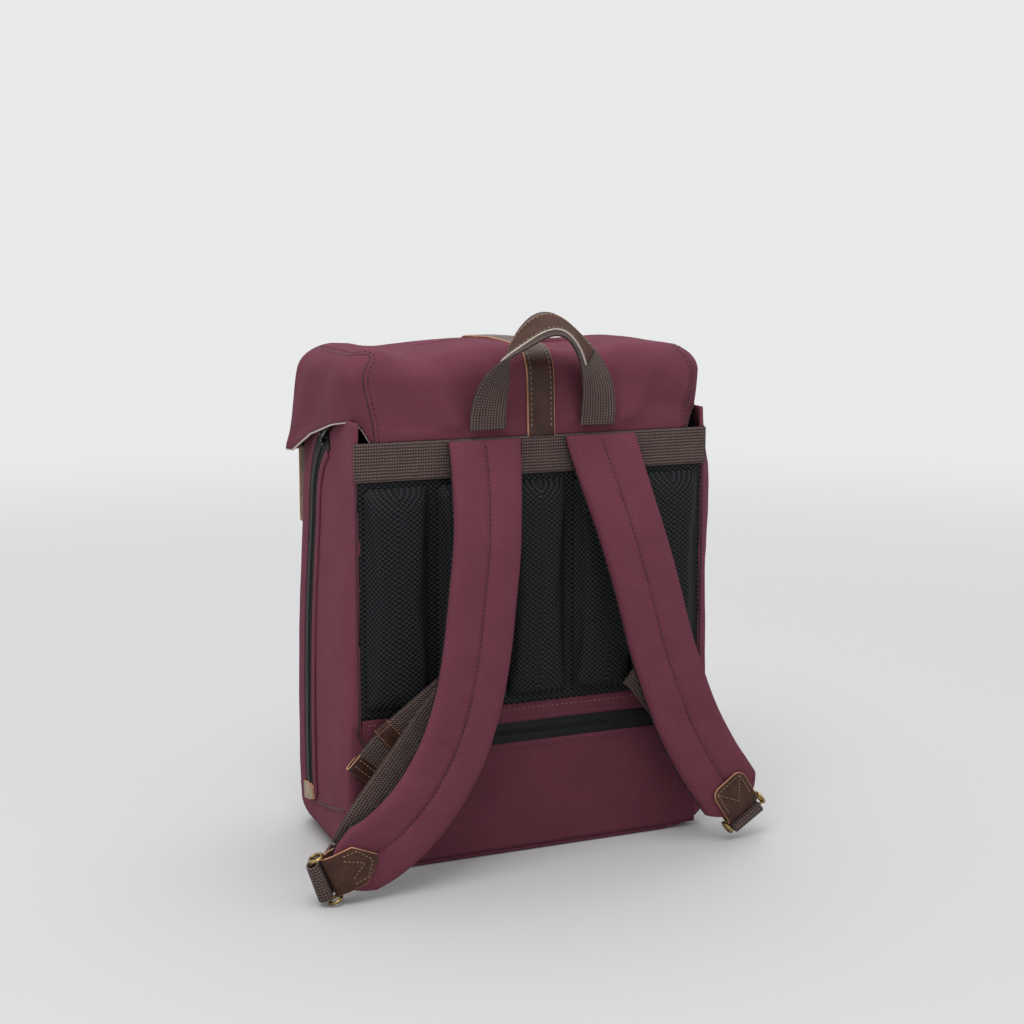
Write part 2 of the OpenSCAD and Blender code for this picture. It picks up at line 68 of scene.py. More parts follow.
def bell(x, centre, width):
    return np.exp(-(((x - centre) / width) ** 2))


def unit(v):
    v = np.asarray(v, float)
    return v / np.maximum(np.linalg.norm(v, axis=-1, keepdims=True), 1e-9)


def ripple(p, scale, seed=0.0):
    """Smooth noise from -1 to 1 at a point in millimetres."""
    return noise.noise(Vector((p[0] * scale + seed, p[1] * scale - seed, p[2] * scale + 2 * seed)))


# ---------- camera, world and lights ---------

camera = bpy.data.objects.new("camera", bpy.data.cameras.new("camera"))
camera.data.lens = 60
camera.data.sensor_width = 36
camera.location = (-0.5318, -1.3028, 0.5076)
camera.rotation_euler = (math.radians(80.4), 0, math.radians(-22.6))
bpy.context.scene.collection.objects.link(camera)
bpy.context.scene.camera = camera
bpy.context.scene.view_settings.view_transform = "Standard"

world = bpy.data.worlds.new("studio")
bpy.context.scene.world = world
world.use_nodes = True
world.node_tree.nodes["Background"].inputs["Color"].default_value = (0.815, 0.818, 0.825, 1)
world.node_tree.nodes["Background"].inputs["Strength"].default_value = 1.0


def area_light(name, place, target, size, watts, colour=(1, 1, 1)):
    lamp = bpy.data.lights.new(name, "AREA")
    lamp.shape = "DISK"
    lamp.size = size
    lamp.energy = watts
    lamp.color = colour
    holder = bpy.data.objects.new(name, lamp)
    holder.location = place
    holder.rotation_euler = (Vector(target) - Vector(place)).to_track_quat("-Z", "Y").to_euler()
    bpy.context.scene.collection.objects.link(holder)


area_light("key", (-0.7, -0.9, 2.3), (0, 0, 0.2), 1.5, 26, (1, 0.985, 0.96))
area_light("top", (0.3, 0.6, 2.2), (0, 0, 0.3), 1.8, 16, (0.97, 0.985, 1))


# ---------- materials ----------


class Look:
    """A procedural material. Surface coordinates are metres, from a piece's own map or its own space."""

    def __init__(self, name, rough, mapped=True, **sockets):
        self.data = bpy.data.materials.new(name)
        self.data.use_nodes = True
        self.tree = self.data.node_tree
        self.shader = self.tree.nodes["Principled BSDF"]
        self.shader.inputs["Roughness"].default_value = rough
        for key, value in sockets.items():
            self.shader.inputs[key.replace("_", " ")].default_value = value
        if mapped:
            place = self.tree.nodes.new("ShaderNodeUVMap")
            place.uv_map = "cloth"
            self.at = place.outputs["UV"]
        else:
            self.at = self.tree.nodes.new("ShaderNodeTexCoord").outputs["Object"]
        parts = self.tree.nodes.new("ShaderNodeSeparateXYZ")
        self.tree.links.new(self.at, parts.inputs[0])
        self.u, self.v, self.w = parts.outputs

    def put(self, value, socket):
        if isinstance(value, bpy.types.NodeSocket):
            self.tree.links.new(value, socket)
        else:
            socket.default_value = value

    def f(self, operation, *values):
        node = self.tree.nodes.new("ShaderNodeMath")
        node.operation = operation
        for value, socket in zip(values, node.inputs):
            self.put(value, socket)
        return node.outputs[0]

    def ramp(self, value, low, high, to_low=0.0, to_high=1.0):
        node = self.tree.nodes.new("ShaderNodeMapRange")
        node.interpolation_type = "SMOOTHSTEP"
        for socket, v in zip(node.inputs, (value, low, high, to_low, to_high)):
            self.put(v, socket)
        return node.outputs[0]

    def noise(self, scale, detail=2.0, rough=0.5, at=None, stretch=None):
        node = self.tree.nodes.new("ShaderNodeTexNoise")
        node.inputs["Scale"].default_value = scale
        node.inputs["Detail"].default_value = detail
        node.inputs["Roughness"].default_value = rough
        source = at or self.at
        if stretch:
            scaled = self.tree.nodes.new("ShaderNodeVectorMath")
            scaled.operation = "MULTIPLY"
            self.put(source, scaled.inputs[0])
            scaled.inputs[1].default_value = stretch
            source = scaled.outputs[0]
        self.put(source, node.inputs["Vector"])
        return node.outputs["Fac"]

    def wave(self, value, pitch, shift=0.0):
        """From 0 to 1 and back once in each pitch."""
        turn = self.f("MULTIPLY_ADD", value, 2 * math.pi / pitch, shift)
        return self.f("MULTIPLY_ADD", self.f("SINE", turn), 0.5, 0.5)

    def mix(self, share, a, b):
        node = self.tree.nodes.new("ShaderNodeMix")
        node.data_type = "RGBA"
        self.put(share, node.inputs[0])
        for value, socket in ((a, node.inputs[6]), (b, node.inputs[7])):
            if isinstance(value, tuple) and len(value) == 3:
                value = (*value, 1)
            self.put(value, socket)
        return node.outputs[2]

    def finish(self, colour, height=None, depth=0.0003, strength=0.6, rough=None):
        if isinstance(colour, tuple) and len(colour) == 3:
            colour = (*colour, 1)
        self.put(colour, self.shader.inputs["Base Color"])
        if rough is not None:
            self.put(rough, self.shader.inputs["Roughness"])
        if height is not None:
            bump = self.tree.nodes.new("ShaderNodeBump")
            bump.inputs["Distance"].default_value = depth
            bump.inputs["Strength"].default_value = strength
            self.put(height, bump.inputs["Height"])
            self.tree.links.new(bump.outputs[0], self.shader.inputs["Normal"])
        return self.data


def scaled(colour, factor):
    return tuple(c * factor for c in colour)


BURGUNDY = (0.138, 0.0385, 0.058)


# shade scales the whole colour; the copies made with a shade other than 1 are painted light and painted shade
def canvas(name, shade=1.0, mapped=True):
    look = Look(name, 0.88, mapped, Specular_IOR_Level=0.08)
    bend = look.noise(170, 2)
    along = look.f("ADD", look.v, look.f("MULTIPLY", look.u, 0.45))
    twill = look.wave(along, 0.0013, look.f("MULTIPLY", bend, 9.0))
    cross = look.wave(look.u, 0.00095, look.f("MULTIPLY", bend, 5.0))
    weave = look.f("MULTIPLY_ADD", twill, 0.65, look.f("MULTIPLY", cross, 0.35))
    grain = look.noise(1500, 3, 0.7)
    cloud = look.noise(24, 3, 0.55)
    tone = look.f("ADD", look.f("MULTIPLY", weave, 0.42), look.f("MULTIPLY", grain, 0.34))
    tone = look.f("ADD", tone, look.f("MULTIPLY", cloud, 0.24))
    colour = look.mix(look.ramp(tone, 0.25, 0.78), scaled(BURGUNDY, 0.70 * shade),
                      scaled(BURGUNDY, 1.34 * shade))
    fleck = look.ramp(look.noise(420, 1, 0.4), 0.735, 0.76)
    colour = look.mix(look.f("MULTIPLY", fleck, 0.12), colour, scaled((0.42, 0.26, 0.26), shade))
    height = look.f("ADD", weave, look.f("MULTIPLY", grain, 0.6))
    return look.finish(colour, height, 0.00035, 0.55, look.ramp(grain, 0.2, 0.8, 0.80, 0.94))


def webbing_look(name):
    look = Look(name, 0.82, Sheen_Weight=0.05, Sheen_Roughness=0.4, Specular_IOR_Level=0.2)
    wobble = look.f("MULTIPLY", look.noise(260, 2), 1.6)
    across = look.wave(look.u, 0.0024, wobble)
    along = look.wave(look.v, 0.0021, wobble)
    stagger = look.wave(look.f("ADD", look.v, look.f("MULTIPLY", look.u, 0.9)), 0.0021, wobble)
    knot = look.f("MULTIPLY", across, look.f("MULTIPLY_ADD", stagger, 0.8, look.f("MULTIPLY", along, 0.2)))
    grain = look.noise(1300, 3, 0.7)
    cloud = look.noise(60, 2)
    lit = look.f("MULTIPLY_ADD", grain, 0.55, look.f("MULTIPLY", knot, 0.75))
    lit = look.f("ADD", lit, look.f("MULTIPLY", cloud, 0.14))
    colour = look.mix(look.ramp(lit, 0.28, 0.98), (0.030, 0.020, 0.0185), (0.215, 0.150, 0.132))
    return look.finish(colour, look.f("MULTIPLY_ADD", grain, 0.3, knot), 0.0009, 0.8)


def spacer_mesh(name):
    look = Look(name, 0.6, Specular_IOR_Level=0.2)
    pitch_u, pitch_v = 0.0050, 0.0040
    one = look.f("MULTIPLY", look.wave(look.u, pitch_u), look.wave(look.v, pitch_v))
    two = look.f("MULTIPLY", look.wave(look.u, pitch_u, math.pi), look.wave(look.v, pitch_v, math.pi))
    hole = look.ramp(look.f("MAXIMUM", one, two), 0.24, 0.52)
    grain = look.noise(1800, 2, 0.6)
    strand = look.f("MULTIPLY", look.f("SUBTRACT", 1.0, hole), look.f("MULTIPLY_ADD", grain, 0.6, 0.55))
    colour = look.mix(strand, (0.0003, 0.0003, 0.0004), (0.030, 0.034, 0.040))
    return look.finish(colour, look.f("SUBTRACT", strand, hole), 0.0011, 0.85)


def plain_cloth(name, dark, light, rough=0.85, scale=700, mapped=True, depth=0.0003, sheen=0.1):
    look = Look(name, rough, mapped, Sheen_Weight=sheen, Specular_IOR_Level=0.3)
    weave = look.f("MULTIPLY", look.wave(look.u, 0.0011), look.wave(look.v, 0.0011))
    grain = look.noise(scale, 3, 0.65)
    tone = look.f("MULTIPLY_ADD", weave, 0.4, look.f("MULTIPLY", grain, 0.6))
    return look.finish(look.mix(look.ramp(tone, 0.15, 0.75), dark, light), tone, depth, 0.5)


def hide(name, dark, light, rough=(0.3, 0.55), coat=0.25, mapped=True, depth=0.0004, scale=520):
    look = Look(name, 0.45, mapped, Coat_Weight=coat * 0.35, Coat_Roughness=0.28, Specular_IOR_Level=0.2)
    cell = look.tree.nodes.new("ShaderNodeTexVoronoi")
    cell.feature = "DISTANCE_TO_EDGE"
    cell.inputs["Scale"].default_value = scale
    look.put(look.at, cell.inputs["Vector"])
    pore = look.ramp(cell.outputs["Distance"], 0.0, 0.35)
    cloud = look.noise(55, 4, 0.6)
    fine = look.noise(900, 3, 0.7)
    tone = look.f("MULTIPLY_ADD", cloud, 0.75, look.f("MULTIPLY", fine, 0.25))
    colour = look.mix(look.ramp(tone, 0.3, 0.7), dark, light)
    height = look.f("MULTIPLY_ADD", pore, 0.7, look.f("MULTIPLY", fine, 0.5))
    return look.finish(colour, height, depth, 0.45, look.ramp(cloud, 0.3, 0.7, *rough))


def metal(name, colour, dark, rough, mapped=False):
    look = Look(name, rough, mapped, Metallic=1.0)
    wear = look.noise(190, 4, 0.65)
    shade = look.mix(look.ramp(wear, 0.35, 0.68), dark, colour)
    return look.finish(shade, look.noise(900, 2), 0.0001, 0.3, look.ramp(wear, 0.3, 0.7, rough + 0.14, rough))


CANVAS = canvas("canvas")
# A lighter copy of the canvas for the body shell, front pocket and welts: painted light
CANVAS_PAINTED_LIGHT = canvas("canvas_painted_light", 1.12)
# A darker copy of the canvas: painted shade for the lower back panel under the pads; the base, its piping and
# the gussets share it
CANVAS_PAINTED_SHADE = canvas("canvas_painted_shade", 0.82)
WEB = webbing_look("webbing")
MESH = spacer_mesh("spacer_mesh")
TAPE = plain_cloth("zip_tape", (0.002, 0.002, 0.0025), (0.012, 0.013, 0.015), 0.7, 900, sheen=0.0)
TEETH = hide("zip_teeth", (0.006, 0.0065, 0.007), (0.016, 0.017, 0.019), (0.26, 0.4), 0.1)
LEATHER = hide("leather", (0.026, 0.0105, 0.008), (0.070, 0.031, 0.023), (0.30, 0.50))
NUBUCK = hide("leather_nubuck", (0.034, 0.0135, 0.0095), (0.088, 0.042, 0.029), (0.62, 0.8), 0.0,
              depth=0.0006)
CUT_EDGE = hide("leather_edge", (0.28, 0.125, 0.066), (0.52, 0.27, 0.16), (0.6, 0.8), 0.0, scale=900)
SUEDE = hide("suede", (0.22, 0.165, 0.12), (0.44, 0.36, 0.28), (0.8, 0.95), 0.0, depth=0.0008, scale=300)
RAW_EDGE = plain_cloth("raw_edge", (0.42, 0.36, 0.31), (0.72, 0.66, 0.60), 0.9, 1200)
LINING = plain_cloth("lining", (0.010, 0.009, 0.010), (0.030, 0.028, 0.030), 0.7, 500)
LID_LINING = plain_cloth("lid_lining", (0.020, 0.012, 0.008), (0.060, 0.040, 0.028), 0.75, 500)
THREAD_DARK = plain_cloth("thread_burgundy", (0.030, 0.008, 0.014), (0.075, 0.022, 0.034), 0.7, 2500, False)
THREAD_TAN = plain_cloth("thread_tan", (0.20, 0.115, 0.055), (0.42, 0.27, 0.15), 0.6, 2500, False)
THREAD_ROSE = plain_cloth("thread_rose", (0.17, 0.065, 0.070), (0.36, 0.17, 0.16), 0.6, 2500, False)
BRASS = metal("antique_brass", (0.44, 0.32, 0.13), (0.17, 0.115, 0.045), 0.26)
BLACK_METAL = metal("black_metal", (0.045, 0.045, 0.048), (0.012, 0.012, 0.013), 0.34)
BOARD = plain_cloth("board", (0.010, 0.010, 0.011), (0.028, 0.028, 0.030), 0.55, 300, False)


# ---------- building ----------


def piece(name, verts, faces, looks, body, stands_for=(), uvs=None, ids=None, flat=False):
    """A mesh from millimetres. uvs holds a pair for each face corner; without it, box_map makes them."""
    data = bpy.data.meshes.new(name)
    verts = np.asarray(verts, float)
    data.from_pydata([tuple(v) for v in verts * MM], [], [tuple(int(i) for i in f) for f in faces])
    for look in looks if isinstance(looks, (list, tuple)) else [looks]:
        data.materials.append(look)
    layer = data.uv_layers.new(name="cloth")
    if uvs is None:
        uvs = box_map(data)
    layer.data.foreach_set("uv", np.asarray(uvs, np.float32).ravel() * MM)
    if ids is not None:
        data.polygons.foreach_set("material_index", np.asarray(ids, np.int32))
    data.polygons.foreach_set("use_smooth", [not flat] * len(data.polygons))
    data.validate()
    data.update()
    thing = bpy.data.objects.new(name, data)
    bpy.context.scene.collection.objects.link(thing)
    if body:
        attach(thing, body)
    if stands_for:
        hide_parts(*stands_for)
    return thing


def box_map(data):
    """Corner map in millimetres by each face's main direction."""
    co = np.empty(len(data.vertices) * 3)
    data.vertices.foreach_get("co", co)
    co = co.reshape(-1, 3) / MM
    corner = np.empty(len(data.loops), int)
    data.loops.foreach_get("vertex_index", corner)
    total = np.empty(len(data.polygons), int)
    data.polygons.foreach_get("loop_total", total)
    normal = np.empty(len(data.polygons) * 3)
    data.polygons.foreach_get("normal", normal)
    axis = np.abs(normal.reshape(-1, 3)).argmax(1)
    axis = np.repeat(axis, total)
    p = co[corner]
    u = np.where(axis == 0, p[:, 1], p[:, 0])
    v = np.where(axis == 2, p[:, 1], p[:, 2])
    return np.stack([u, v], 1)


def grid_faces(rows, cols, around=False, first=0):
    faces = []
    for i in range(rows - 1):
        for j in range(cols if around else cols - 1):
            k = (j + 1) % cols
            faces.append((first + i * cols + j, first + i * cols + k, first + (i + 1) * cols + k,
                          first + (i + 1) * cols + j))
    return faces


def grid_map(u, v):
    """Corner map for grid_faces from one row of u values and one column of v values."""
    out = []
    rows = len(v)
    for i in range(rows - 1):
        for j in range(len(u) - 1):
            out += [(u[j], v[i]), (u[j + 1], v[i]), (u[j + 1], v[i + 1]), (u[j], v[i + 1])]
    return out


def lengths(points, around=False):
    pts = np.asarray(points, float)
    if around:
        pts = np.vstack([pts, pts[:1]])
    return np.concatenate([[0], np.cumsum(np.linalg.norm(np.diff(pts, axis=0), axis=1))])


def spline(route, steps):
    """The smooth curve that the CAD uses through the points of a route."""
    r = [np.array(p, float) for p in route]
    out = []
    for i in range(len(r) - 1):
        a, b, c, d = r[max(i - 1, 0)], r[i], r[i + 1], r[min(i + 2, len(r) - 1)]
        for k in range(steps):
            t = k / steps
            out.append(0.5 * (2 * b + (c - a) * t + (2 * a - 5 * b + 4 * c - d) * t * t
                              + (3 * b - a - 3 * c + d) * t ** 3))
    out.append(r[-1])
    return np.array(out)


def tangents(path):
    return unit(np.vstack([path[1] - path[0], path[2:] - path[:-2], path[-1] - path[-2]]))


def resample(path, spacing):
    s = lengths(path)
    n = max(2, int(round(s[-1] / spacing)) + 1)
    at = np.linspace(0, s[-1], n)
    return np.stack([np.interp(at, s, path[:, k]) for k in range(3)], 1)


def strip_section(w, t, round_r=None, segs=3):
    """Outline of a flat band with rounded edges, width along x."""
    r = min(round_r if round_r is not None else t / 2, t / 2)
    out = []
    for cx, cy, start in ((w / 2 - r, t / 2 - r, 0), (-w / 2 + r, t / 2 - r, 90),
                          (-w / 2 + r, -t / 2 + r, 180), (w / 2 - r, -t / 2 + r, 270)):
        for k in range(segs + 1):
            a = math.radians(start + 90 * k / segs)
            out.append((cx + r * math.cos(a), cy + r * math.sin(a)))
    return np.array(out)


def ribbon(name, path, wide, w, t, look, body, stands_for=(), lift=0.0, width=None, edge=None,
           segs=3, round_r=None, belly=0.0, across_steps=6):
    """A band along a path. wide gives its width direction at each point, width(u) its share of w."""
    path = np.asarray(path, float)
    tan = tangents(path)
    wide = unit(wide - tan * np.sum(wide * tan, axis=1, keepdims=True))
    up = unit(np.cross(wide, tan))
    base = strip_section(w, t, round_r, segs)
    # Points are added on both faces, so that the band can be crowned
    top = [(x, t / 2) for x in np.linspace(w / 2 - t / 2, -w / 2 + t / 2, across_steps + 1)[1:-1]]
    low = [(x, -t / 2) for x in np.linspace(-w / 2 + t / 2, w / 2 - t / 2, across_steps + 1)[1:-1]]
    quarter = segs + 1
    first, middle, last = base[:quarter], base[quarter:3 * quarter], base[3 * quarter:]
    section = np.array([*first, *top, *middle, *low, *last])
    n, m = len(path), len(section)
    rings = np.empty((n, m, 3))
    for i in range(n):
        share = 1.0 if width is None else width(i / (n - 1))
        for j, (x, y) in enumerate(section):
            crown = belly * (1 - (2 * x / w) ** 2) if y > 0 else 0
            rings[i, j] = path[i] + wide[i] * x * share + up[i] * (y + lift + crown)
    verts = rings.reshape(-1, 3)
    faces = grid_faces(n, m, True)
    along = lengths(path)
    around = np.concatenate([section[:, 0], section[:1, 0]])
    uvs = grid_map(around, along)
    ids = []
    is_edge = [abs(section[j, 0] + section[(j + 1) % m, 0]) / 2 > w / 2 - t * 0.42 for j in range(m)]
    for i in range(n - 1):
        ids += [1 if (edge and is_edge[j]) else 0 for j in range(m)]
    for ring, order in ((0, range(m - 1, -1, -1)), (n - 1, range(m))):
        faces.append(tuple(ring * m + j for j in order))
        uvs += [(section[j, 0], along[ring] + section[j, 1]) for j in order]
        ids.append(1 if edge else 0)
    return piece(name, verts, faces, [look, edge] if edge else [look], body, stands_for, uvs, ids)


GRAIN = ((-0.5, 0.25), (-0.36, 0.9), (0.0, 1.0), (0.36, 0.9), (0.5, 0.25))


def grains(name, centres, along, ups, length, r, look, body, stands_for=(), tall=0.75, dip=0.35):
    """Small rounded bars, such as stitches or zip teeth, in one piece."""
    verts, faces = [], []
    for c, d, n in zip(centres, unit(along), unit(ups)):
        side = unit(np.cross(n, d))
        n = np.cross(d, side)
        start = len(verts)
        for x, share in GRAIN:
            for a in range(6):
                turn = math.pi * a / 3
                rise = math.sin(turn) * r * share * tall - (dip * r if abs(x) > 0.4 else 0)
                verts.append(c + d * x * length + side * math.cos(turn) * r * share + n * rise)
        faces += grid_faces(len(GRAIN), 6, True, start)
        faces.append(tuple(start + a for a in range(5, -1, -1)))
        faces.append(tuple(start + (len(GRAIN) - 1) * 6 + a for a in range(6)))
    return piece(name, verts, faces, look, body, stands_for)


def stitches(name, path, look, body, up=OUT, length=2.6, gap=1.5, r=0.38, lift=0.0):
    """A row of sewn stitches along a path."""
    path = np.asarray(path, float)
    s = lengths(path)
    ups = np.broadcast_to(np.asarray(up, float), path.shape)
    mids = (np.arange(int((s[-1] + gap) // (length + gap))) + 0.5) * (length + gap)

    def at(values, where):
        return np.stack([np.interp(where, s, values[:, k]) for k in range(3)], 1)

    centres = at(path, mids) + unit(at(ups, mids)) * lift
    along = at(path, np.minimum(mids + 1, s[-1])) - at(path, np.maximum(mids - 1, 0))
    return grains(name, centres, along, at(ups, mids), length, r, look, body)


def cord_line(name, path, r, look, body, sides=8):
    """A thin round line along a path, such as piping or a seam."""
    path = np.asarray(path, float)
    tan = tangents(path)
    ref = np.tile(UP if abs(tan[0][2]) < 0.8 else OUT, (len(path), 1))
    a = unit(np.cross(ref, tan))
    b = np.cross(tan, a)
    ang = np.linspace(0, 2 * math.pi, sides, endpoint=False)
    turn = np.cos(ang)[None, :, None] * a[:, None] + np.sin(ang)[None, :, None] * b[:, None]
    rings = path[:, None] + r * turn
    n = len(path)
    faces = grid_faces(n, sides, True)
    faces.append(tuple(range(sides - 1, -1, -1)))
    faces.append(tuple((n - 1) * sides + k for k in range(sides)))
    return piece(name, rings.reshape(-1, 3), faces, look, body)


def solid(thing, thickness, offset=-1.0):
    """Gives a sheet its thickness in millimetres, towards its inner side."""
    modifier = thing.modifiers.new("thickness", "SOLIDIFY")
    modifier.thickness = thickness * MM
    modifier.offset = offset
    return thing


def surface_normals(points, around=True):
    """Unit normals of a grid of points, rows by columns."""
    if around:
        across = np.roll(points, -1, axis=1) - np.roll(points, 1, axis=1)
    else:
        across = np.gradient(points, axis=1)
    down = np.gradient(points, axis=0)
    return unit(np.cross(across, down))


# ---------- body ----------

SHELL_HIGH = box("main_shell")[1]
BASE_HALF = SHELL_HIGH[0]
DEEP = SHELL_HIGH[1]
BACK_Y = -DEEP
BEND_Z = 26.0
LEAN = 9.5 / 333
TOP_Z = SHELL_HIGH[2]
PANEL_HALF = box("back_mesh")[1][0] + 0.3
SEAM_Z = box("back_mesh")[1][2] + 4


def lean_half(z):
    return BASE_HALF - LEAN * (z - BEND_Z)


SWELL_Z = (26, 60, 100, 136, 150, 176, 196, 220, 237, 267, 310, 335, 350, 360)
SWELL_RIGHT = (0, 3, 4.6, 4.2, 3.6, 6.4, 5.6, 6.2, 9.0, 10.6, 11.6, 7, 2.5, 1)
SWELL_LEFT = (0, 2.2, 3.4, 3.8, 3.9, 3.9, 3.6, 3.0, 2.4, 1.2, 0.4, 0.2, 0, 0)


def side_x(side, y, z):
    """How far out a side panel lies at a depth and height."""
    swell = np.interp(z, SWELL_Z, SWELL_LEFT if side < 0 else SWELL_RIGHT)
    shape = step(-77, -58, y) * (1 - step(55, 76, y))
    if side > 0:
        shape = shape * (1 - 0.6 * step(-25, 40, y))
    return lean_half(z) + swell * shape


def rounded_ring(half, y0, y1, r_back, r_front, counts):
    """Outline of the body at one height, from the left end of its back side round by the right."""
    n_wide, n_deep, n_turn = counts
    pts = [(x, y0) for x in np.linspace(-half + r_back, half - r_back, n_wide)]

    def turn(cx, cy, r, start):
        return [(cx + r * math.cos(math.radians(start + 90 * k / (n_turn + 1))),
                 cy + r * math.sin(math.radians(start + 90 * k / (n_turn + 1)))) for k in range(1, n_turn + 1)]

    pts += turn(half - r_back, y0 + r_back, r_back, -90)
    pts += [(half, y) for y in np.linspace(y0 + r_back, y1 - r_front, n_deep)]
    pts += turn(half - r_front, y1 - r_front, r_front, 0)
    pts += [(x, y1) for x in np.linspace(half - r_front, -half + r_front, n_wide)]
    pts += turn(-half + r_front, y1 - r_front, r_front, 90)
    pts += [(-half, y) for y in np.linspace(y1 - r_front, y0 + r_back, n_deep)]
    pts += turn(-half + r_back, y0 + r_back, r_back, 180)
    return np.array(pts)


def body_grid():
    counts = (101, 46, 7)
    rows = []
    turns = [math.radians(a) for a in np.linspace(0, 90, 11)]
    levels = [(BEND_Z - 25 * math.cos(a), 1 - math.sin(a)) for a in turns]
    levels += [(z, 0.0) for z in np.arange(BEND_Z + 3, TOP_Z, 3)]
    for z, tuck in levels:
        half = lean_half(max(z, BEND_Z)) - 20 * tuck
        ring = rounded_ring(half, BACK_Y + 2.5 * tuck, DEEP - 5 * tuck, 4 + 20 * tuck, 20 + 14 * tuck, counts)
        for p in ring:
            side = 1 if p[0] > 0 else -1
            grow = side_x(side, p[1], z) - lean_half(z) if z > BEND_Z else 0
            p[0] += side * grow * step(0.9, 0.99, abs(p[0]) / half)
        rows.append(np.column_stack([ring, np.full(len(ring), z)]))
    grid = np.array(rows)
    normal = surface_normals(grid)
    soft = np.empty(grid.shape[:2])
    for i, row in enumerate(grid):
        for j, p in enumerate(row):
            quiet = step(BACK_Y + 0.5, BACK_Y + 14, p[1]) * step(2, 30, p[2])
            soft[i, j] = quiet * (1.1 * ripple(p, 0.018, 3.1) + 0.45 * ripple(p, 0.05, 7.7))
            if p[0] < 0:
                soft[i, j] *= 0.45
    return grid + normal * soft[..., None]


BODY = body_grid()


def make_body():
    rows, cols = BODY.shape[:2]
    flat = BODY.reshape(-1, 3)
    keep = []
    for f in grid_faces(rows, cols, True):
        centre = flat[list(f)].mean(0)
        if not (centre[1] < BACK_Y + 0.2 and abs(centre[0]) < PANEL_HALF - 1.0 and centre[2] > 5):
            keep.append(f)
    shell = piece("body_shell", flat, keep, CANVAS_PAINTED_LIGHT, "pack", ["main_shell"])
    solid(shell, 2.0)
    # Base: a soft panel inside a round piping
    ring = BODY[0].copy()
    base_rows = [ring * (k, k, 1) - (0, 0, 0.35 * (1 - k)) for k in (0.985, 0.9, 0.7, 0.4, 0.12)]
    base = np.array(base_rows)
    faces = grid_faces(len(base), cols, True) + [tuple((len(base) - 1) * cols + j for j in range(cols))]
    panel = piece("base_cloth", base.reshape(-1, 3), [f[::-1] for f in faces], CANVAS_PAINTED_SHADE, "pack",
                  ["base_panel"])
    solid(panel, 2.0)
    around = resample(np.vstack([ring, ring[:1]]), 4) + (0, 0, 1.2)
    around[:, :2] *= 1.004
    cord_line("base_piping_cord", around, 1.7, CANVAS_PAINTED_SHADE, "pack", 10)
    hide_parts("base_piping")


def side_path(side, points, lift=0.0):
    return np.array([(side * (side_x(side, y, z) + lift), y, z) for y, z in points])


def make_body_seams():
    for side, word in ((-1, "left"), (1, "right")):
        edge = [(side * (min(PANEL_HALF + 1.6, lean_half(z) - 1.2)), BACK_Y - 0.15,
                 z) for z in range(26, 345, 6)]
        cord_line(f"back_seam_{word}", edge, 0.85, THREAD_DARK, "pack")
        low = [(y, float(np.interp(y, (-74, -56, -17, 15, 33, 60),
                                   (53, 49.5, 40, 35, 38.5, 37)))) for y in range(-70, 60, 4)]
        cord_line(f"bottom_seam_{word}", side_path(side, low, -0.1), 0.75, THREAD_DARK, "pack")
        stitches(f"bottom_stitch_{word}", side_path(side, [(y, z - 3.2) for y, z in low], 0.1), THREAD_DARK,
                 "pack",
                 up=(side, 0, 0), r=0.32)


# ---------- back ----------


def make_back_panel():
    low, high = box("back_panel")
    tape_low, tape_high = box("pocket_zip_tape")
    zip_half = tape_high[0] + 0.3
    z0, z1 = tape_low[2] - 0.2, tape_high[2] + 0.2
    half = high[0]
    xs = np.concatenate([np.linspace(-half, -zip_half, 12), np.linspace(-zip_half, zip_half, 66)[1:],
                         np.linspace(zip_half, half, 12)[1:]])
    zs = np.concatenate([np.linspace(low[2], z0, 30), np.linspace(z0, z1, 6)[1:],
                         np.linspace(z1, high[2], 7)[1:]])
    verts, faces = [], []
    for z in zs:
        for x in xs:
            slack = step(6, 40, z) * (1 - step(60, z0, z)) * (1 - step(90, half, abs(x)))
            puff = 1.4 * slack + 0.5 * ripple((x, 0, z), 0.03,
                                              1.5) * step(6, 20, z) * (1 - step(80, z0 - 2, z))
            roll = 0.9 * bell(z, z0 - 1.2, 2.2) + 0.9 * bell(z, z1 + 1.2, 2.2)
            verts.append((x, BACK_Y - puff - roll * (abs(x) < zip_half + 1), z))
    cols = len(xs)
    for f in grid_faces(len(zs), cols):
        c = np.mean([verts[k] for k in f], axis=0)
        if not (abs(c[0]) < zip_half and z0 < c[2] < z1):
            faces.append(f)
    solid(piece("pocket_panel", verts, faces, CANVAS_PAINTED_SHADE, "pack", ["back_panel"]), 2.2)
    line = np.linspace(-zip_half, zip_half, 57)
    y = BACK_Y + 0.9
    tape = np.array([(x, y, (z0 + z1) / 2) for x in line])
    ribbon("pocket_tape", tape, np.tile(-UP, (len(tape), 1)), z1 - z0 + 3, 0.9, TAPE, "pack",
           ["pocket_zip_tape"])
    teeth("pocket_teeth", tape, UP, OUT, 1.45, 0.62, 2.3, 0.9, "pocket_zip_coil")
    for word, z, look in (("top", high[2] - 4.5, THREAD_ROSE), ("over", z1 + 4.6, THREAD_DARK),
                          ("under", z0 - 4.8, THREAD_DARK)):
        reach = half - 5 if word == "top" else zip_half + 3
        row = np.array([(x, BACK_Y - 0.35, z) for x in np.linspace(-reach, reach, 60)])
        stitches(f"panel_stitch_{word}", row, look, "pack", r=0.34, length=2.2, gap=2.0)
    for word, off in (("a", 5.4), ("b", -5.4)):
        rib = tape + (0, -0.55, off)
        ribbon(f"pocket_tape_rib_{word}", rib, np.tile(-UP, (len(rib), 1)), 1.4, 0.7, TAPE, "pack")


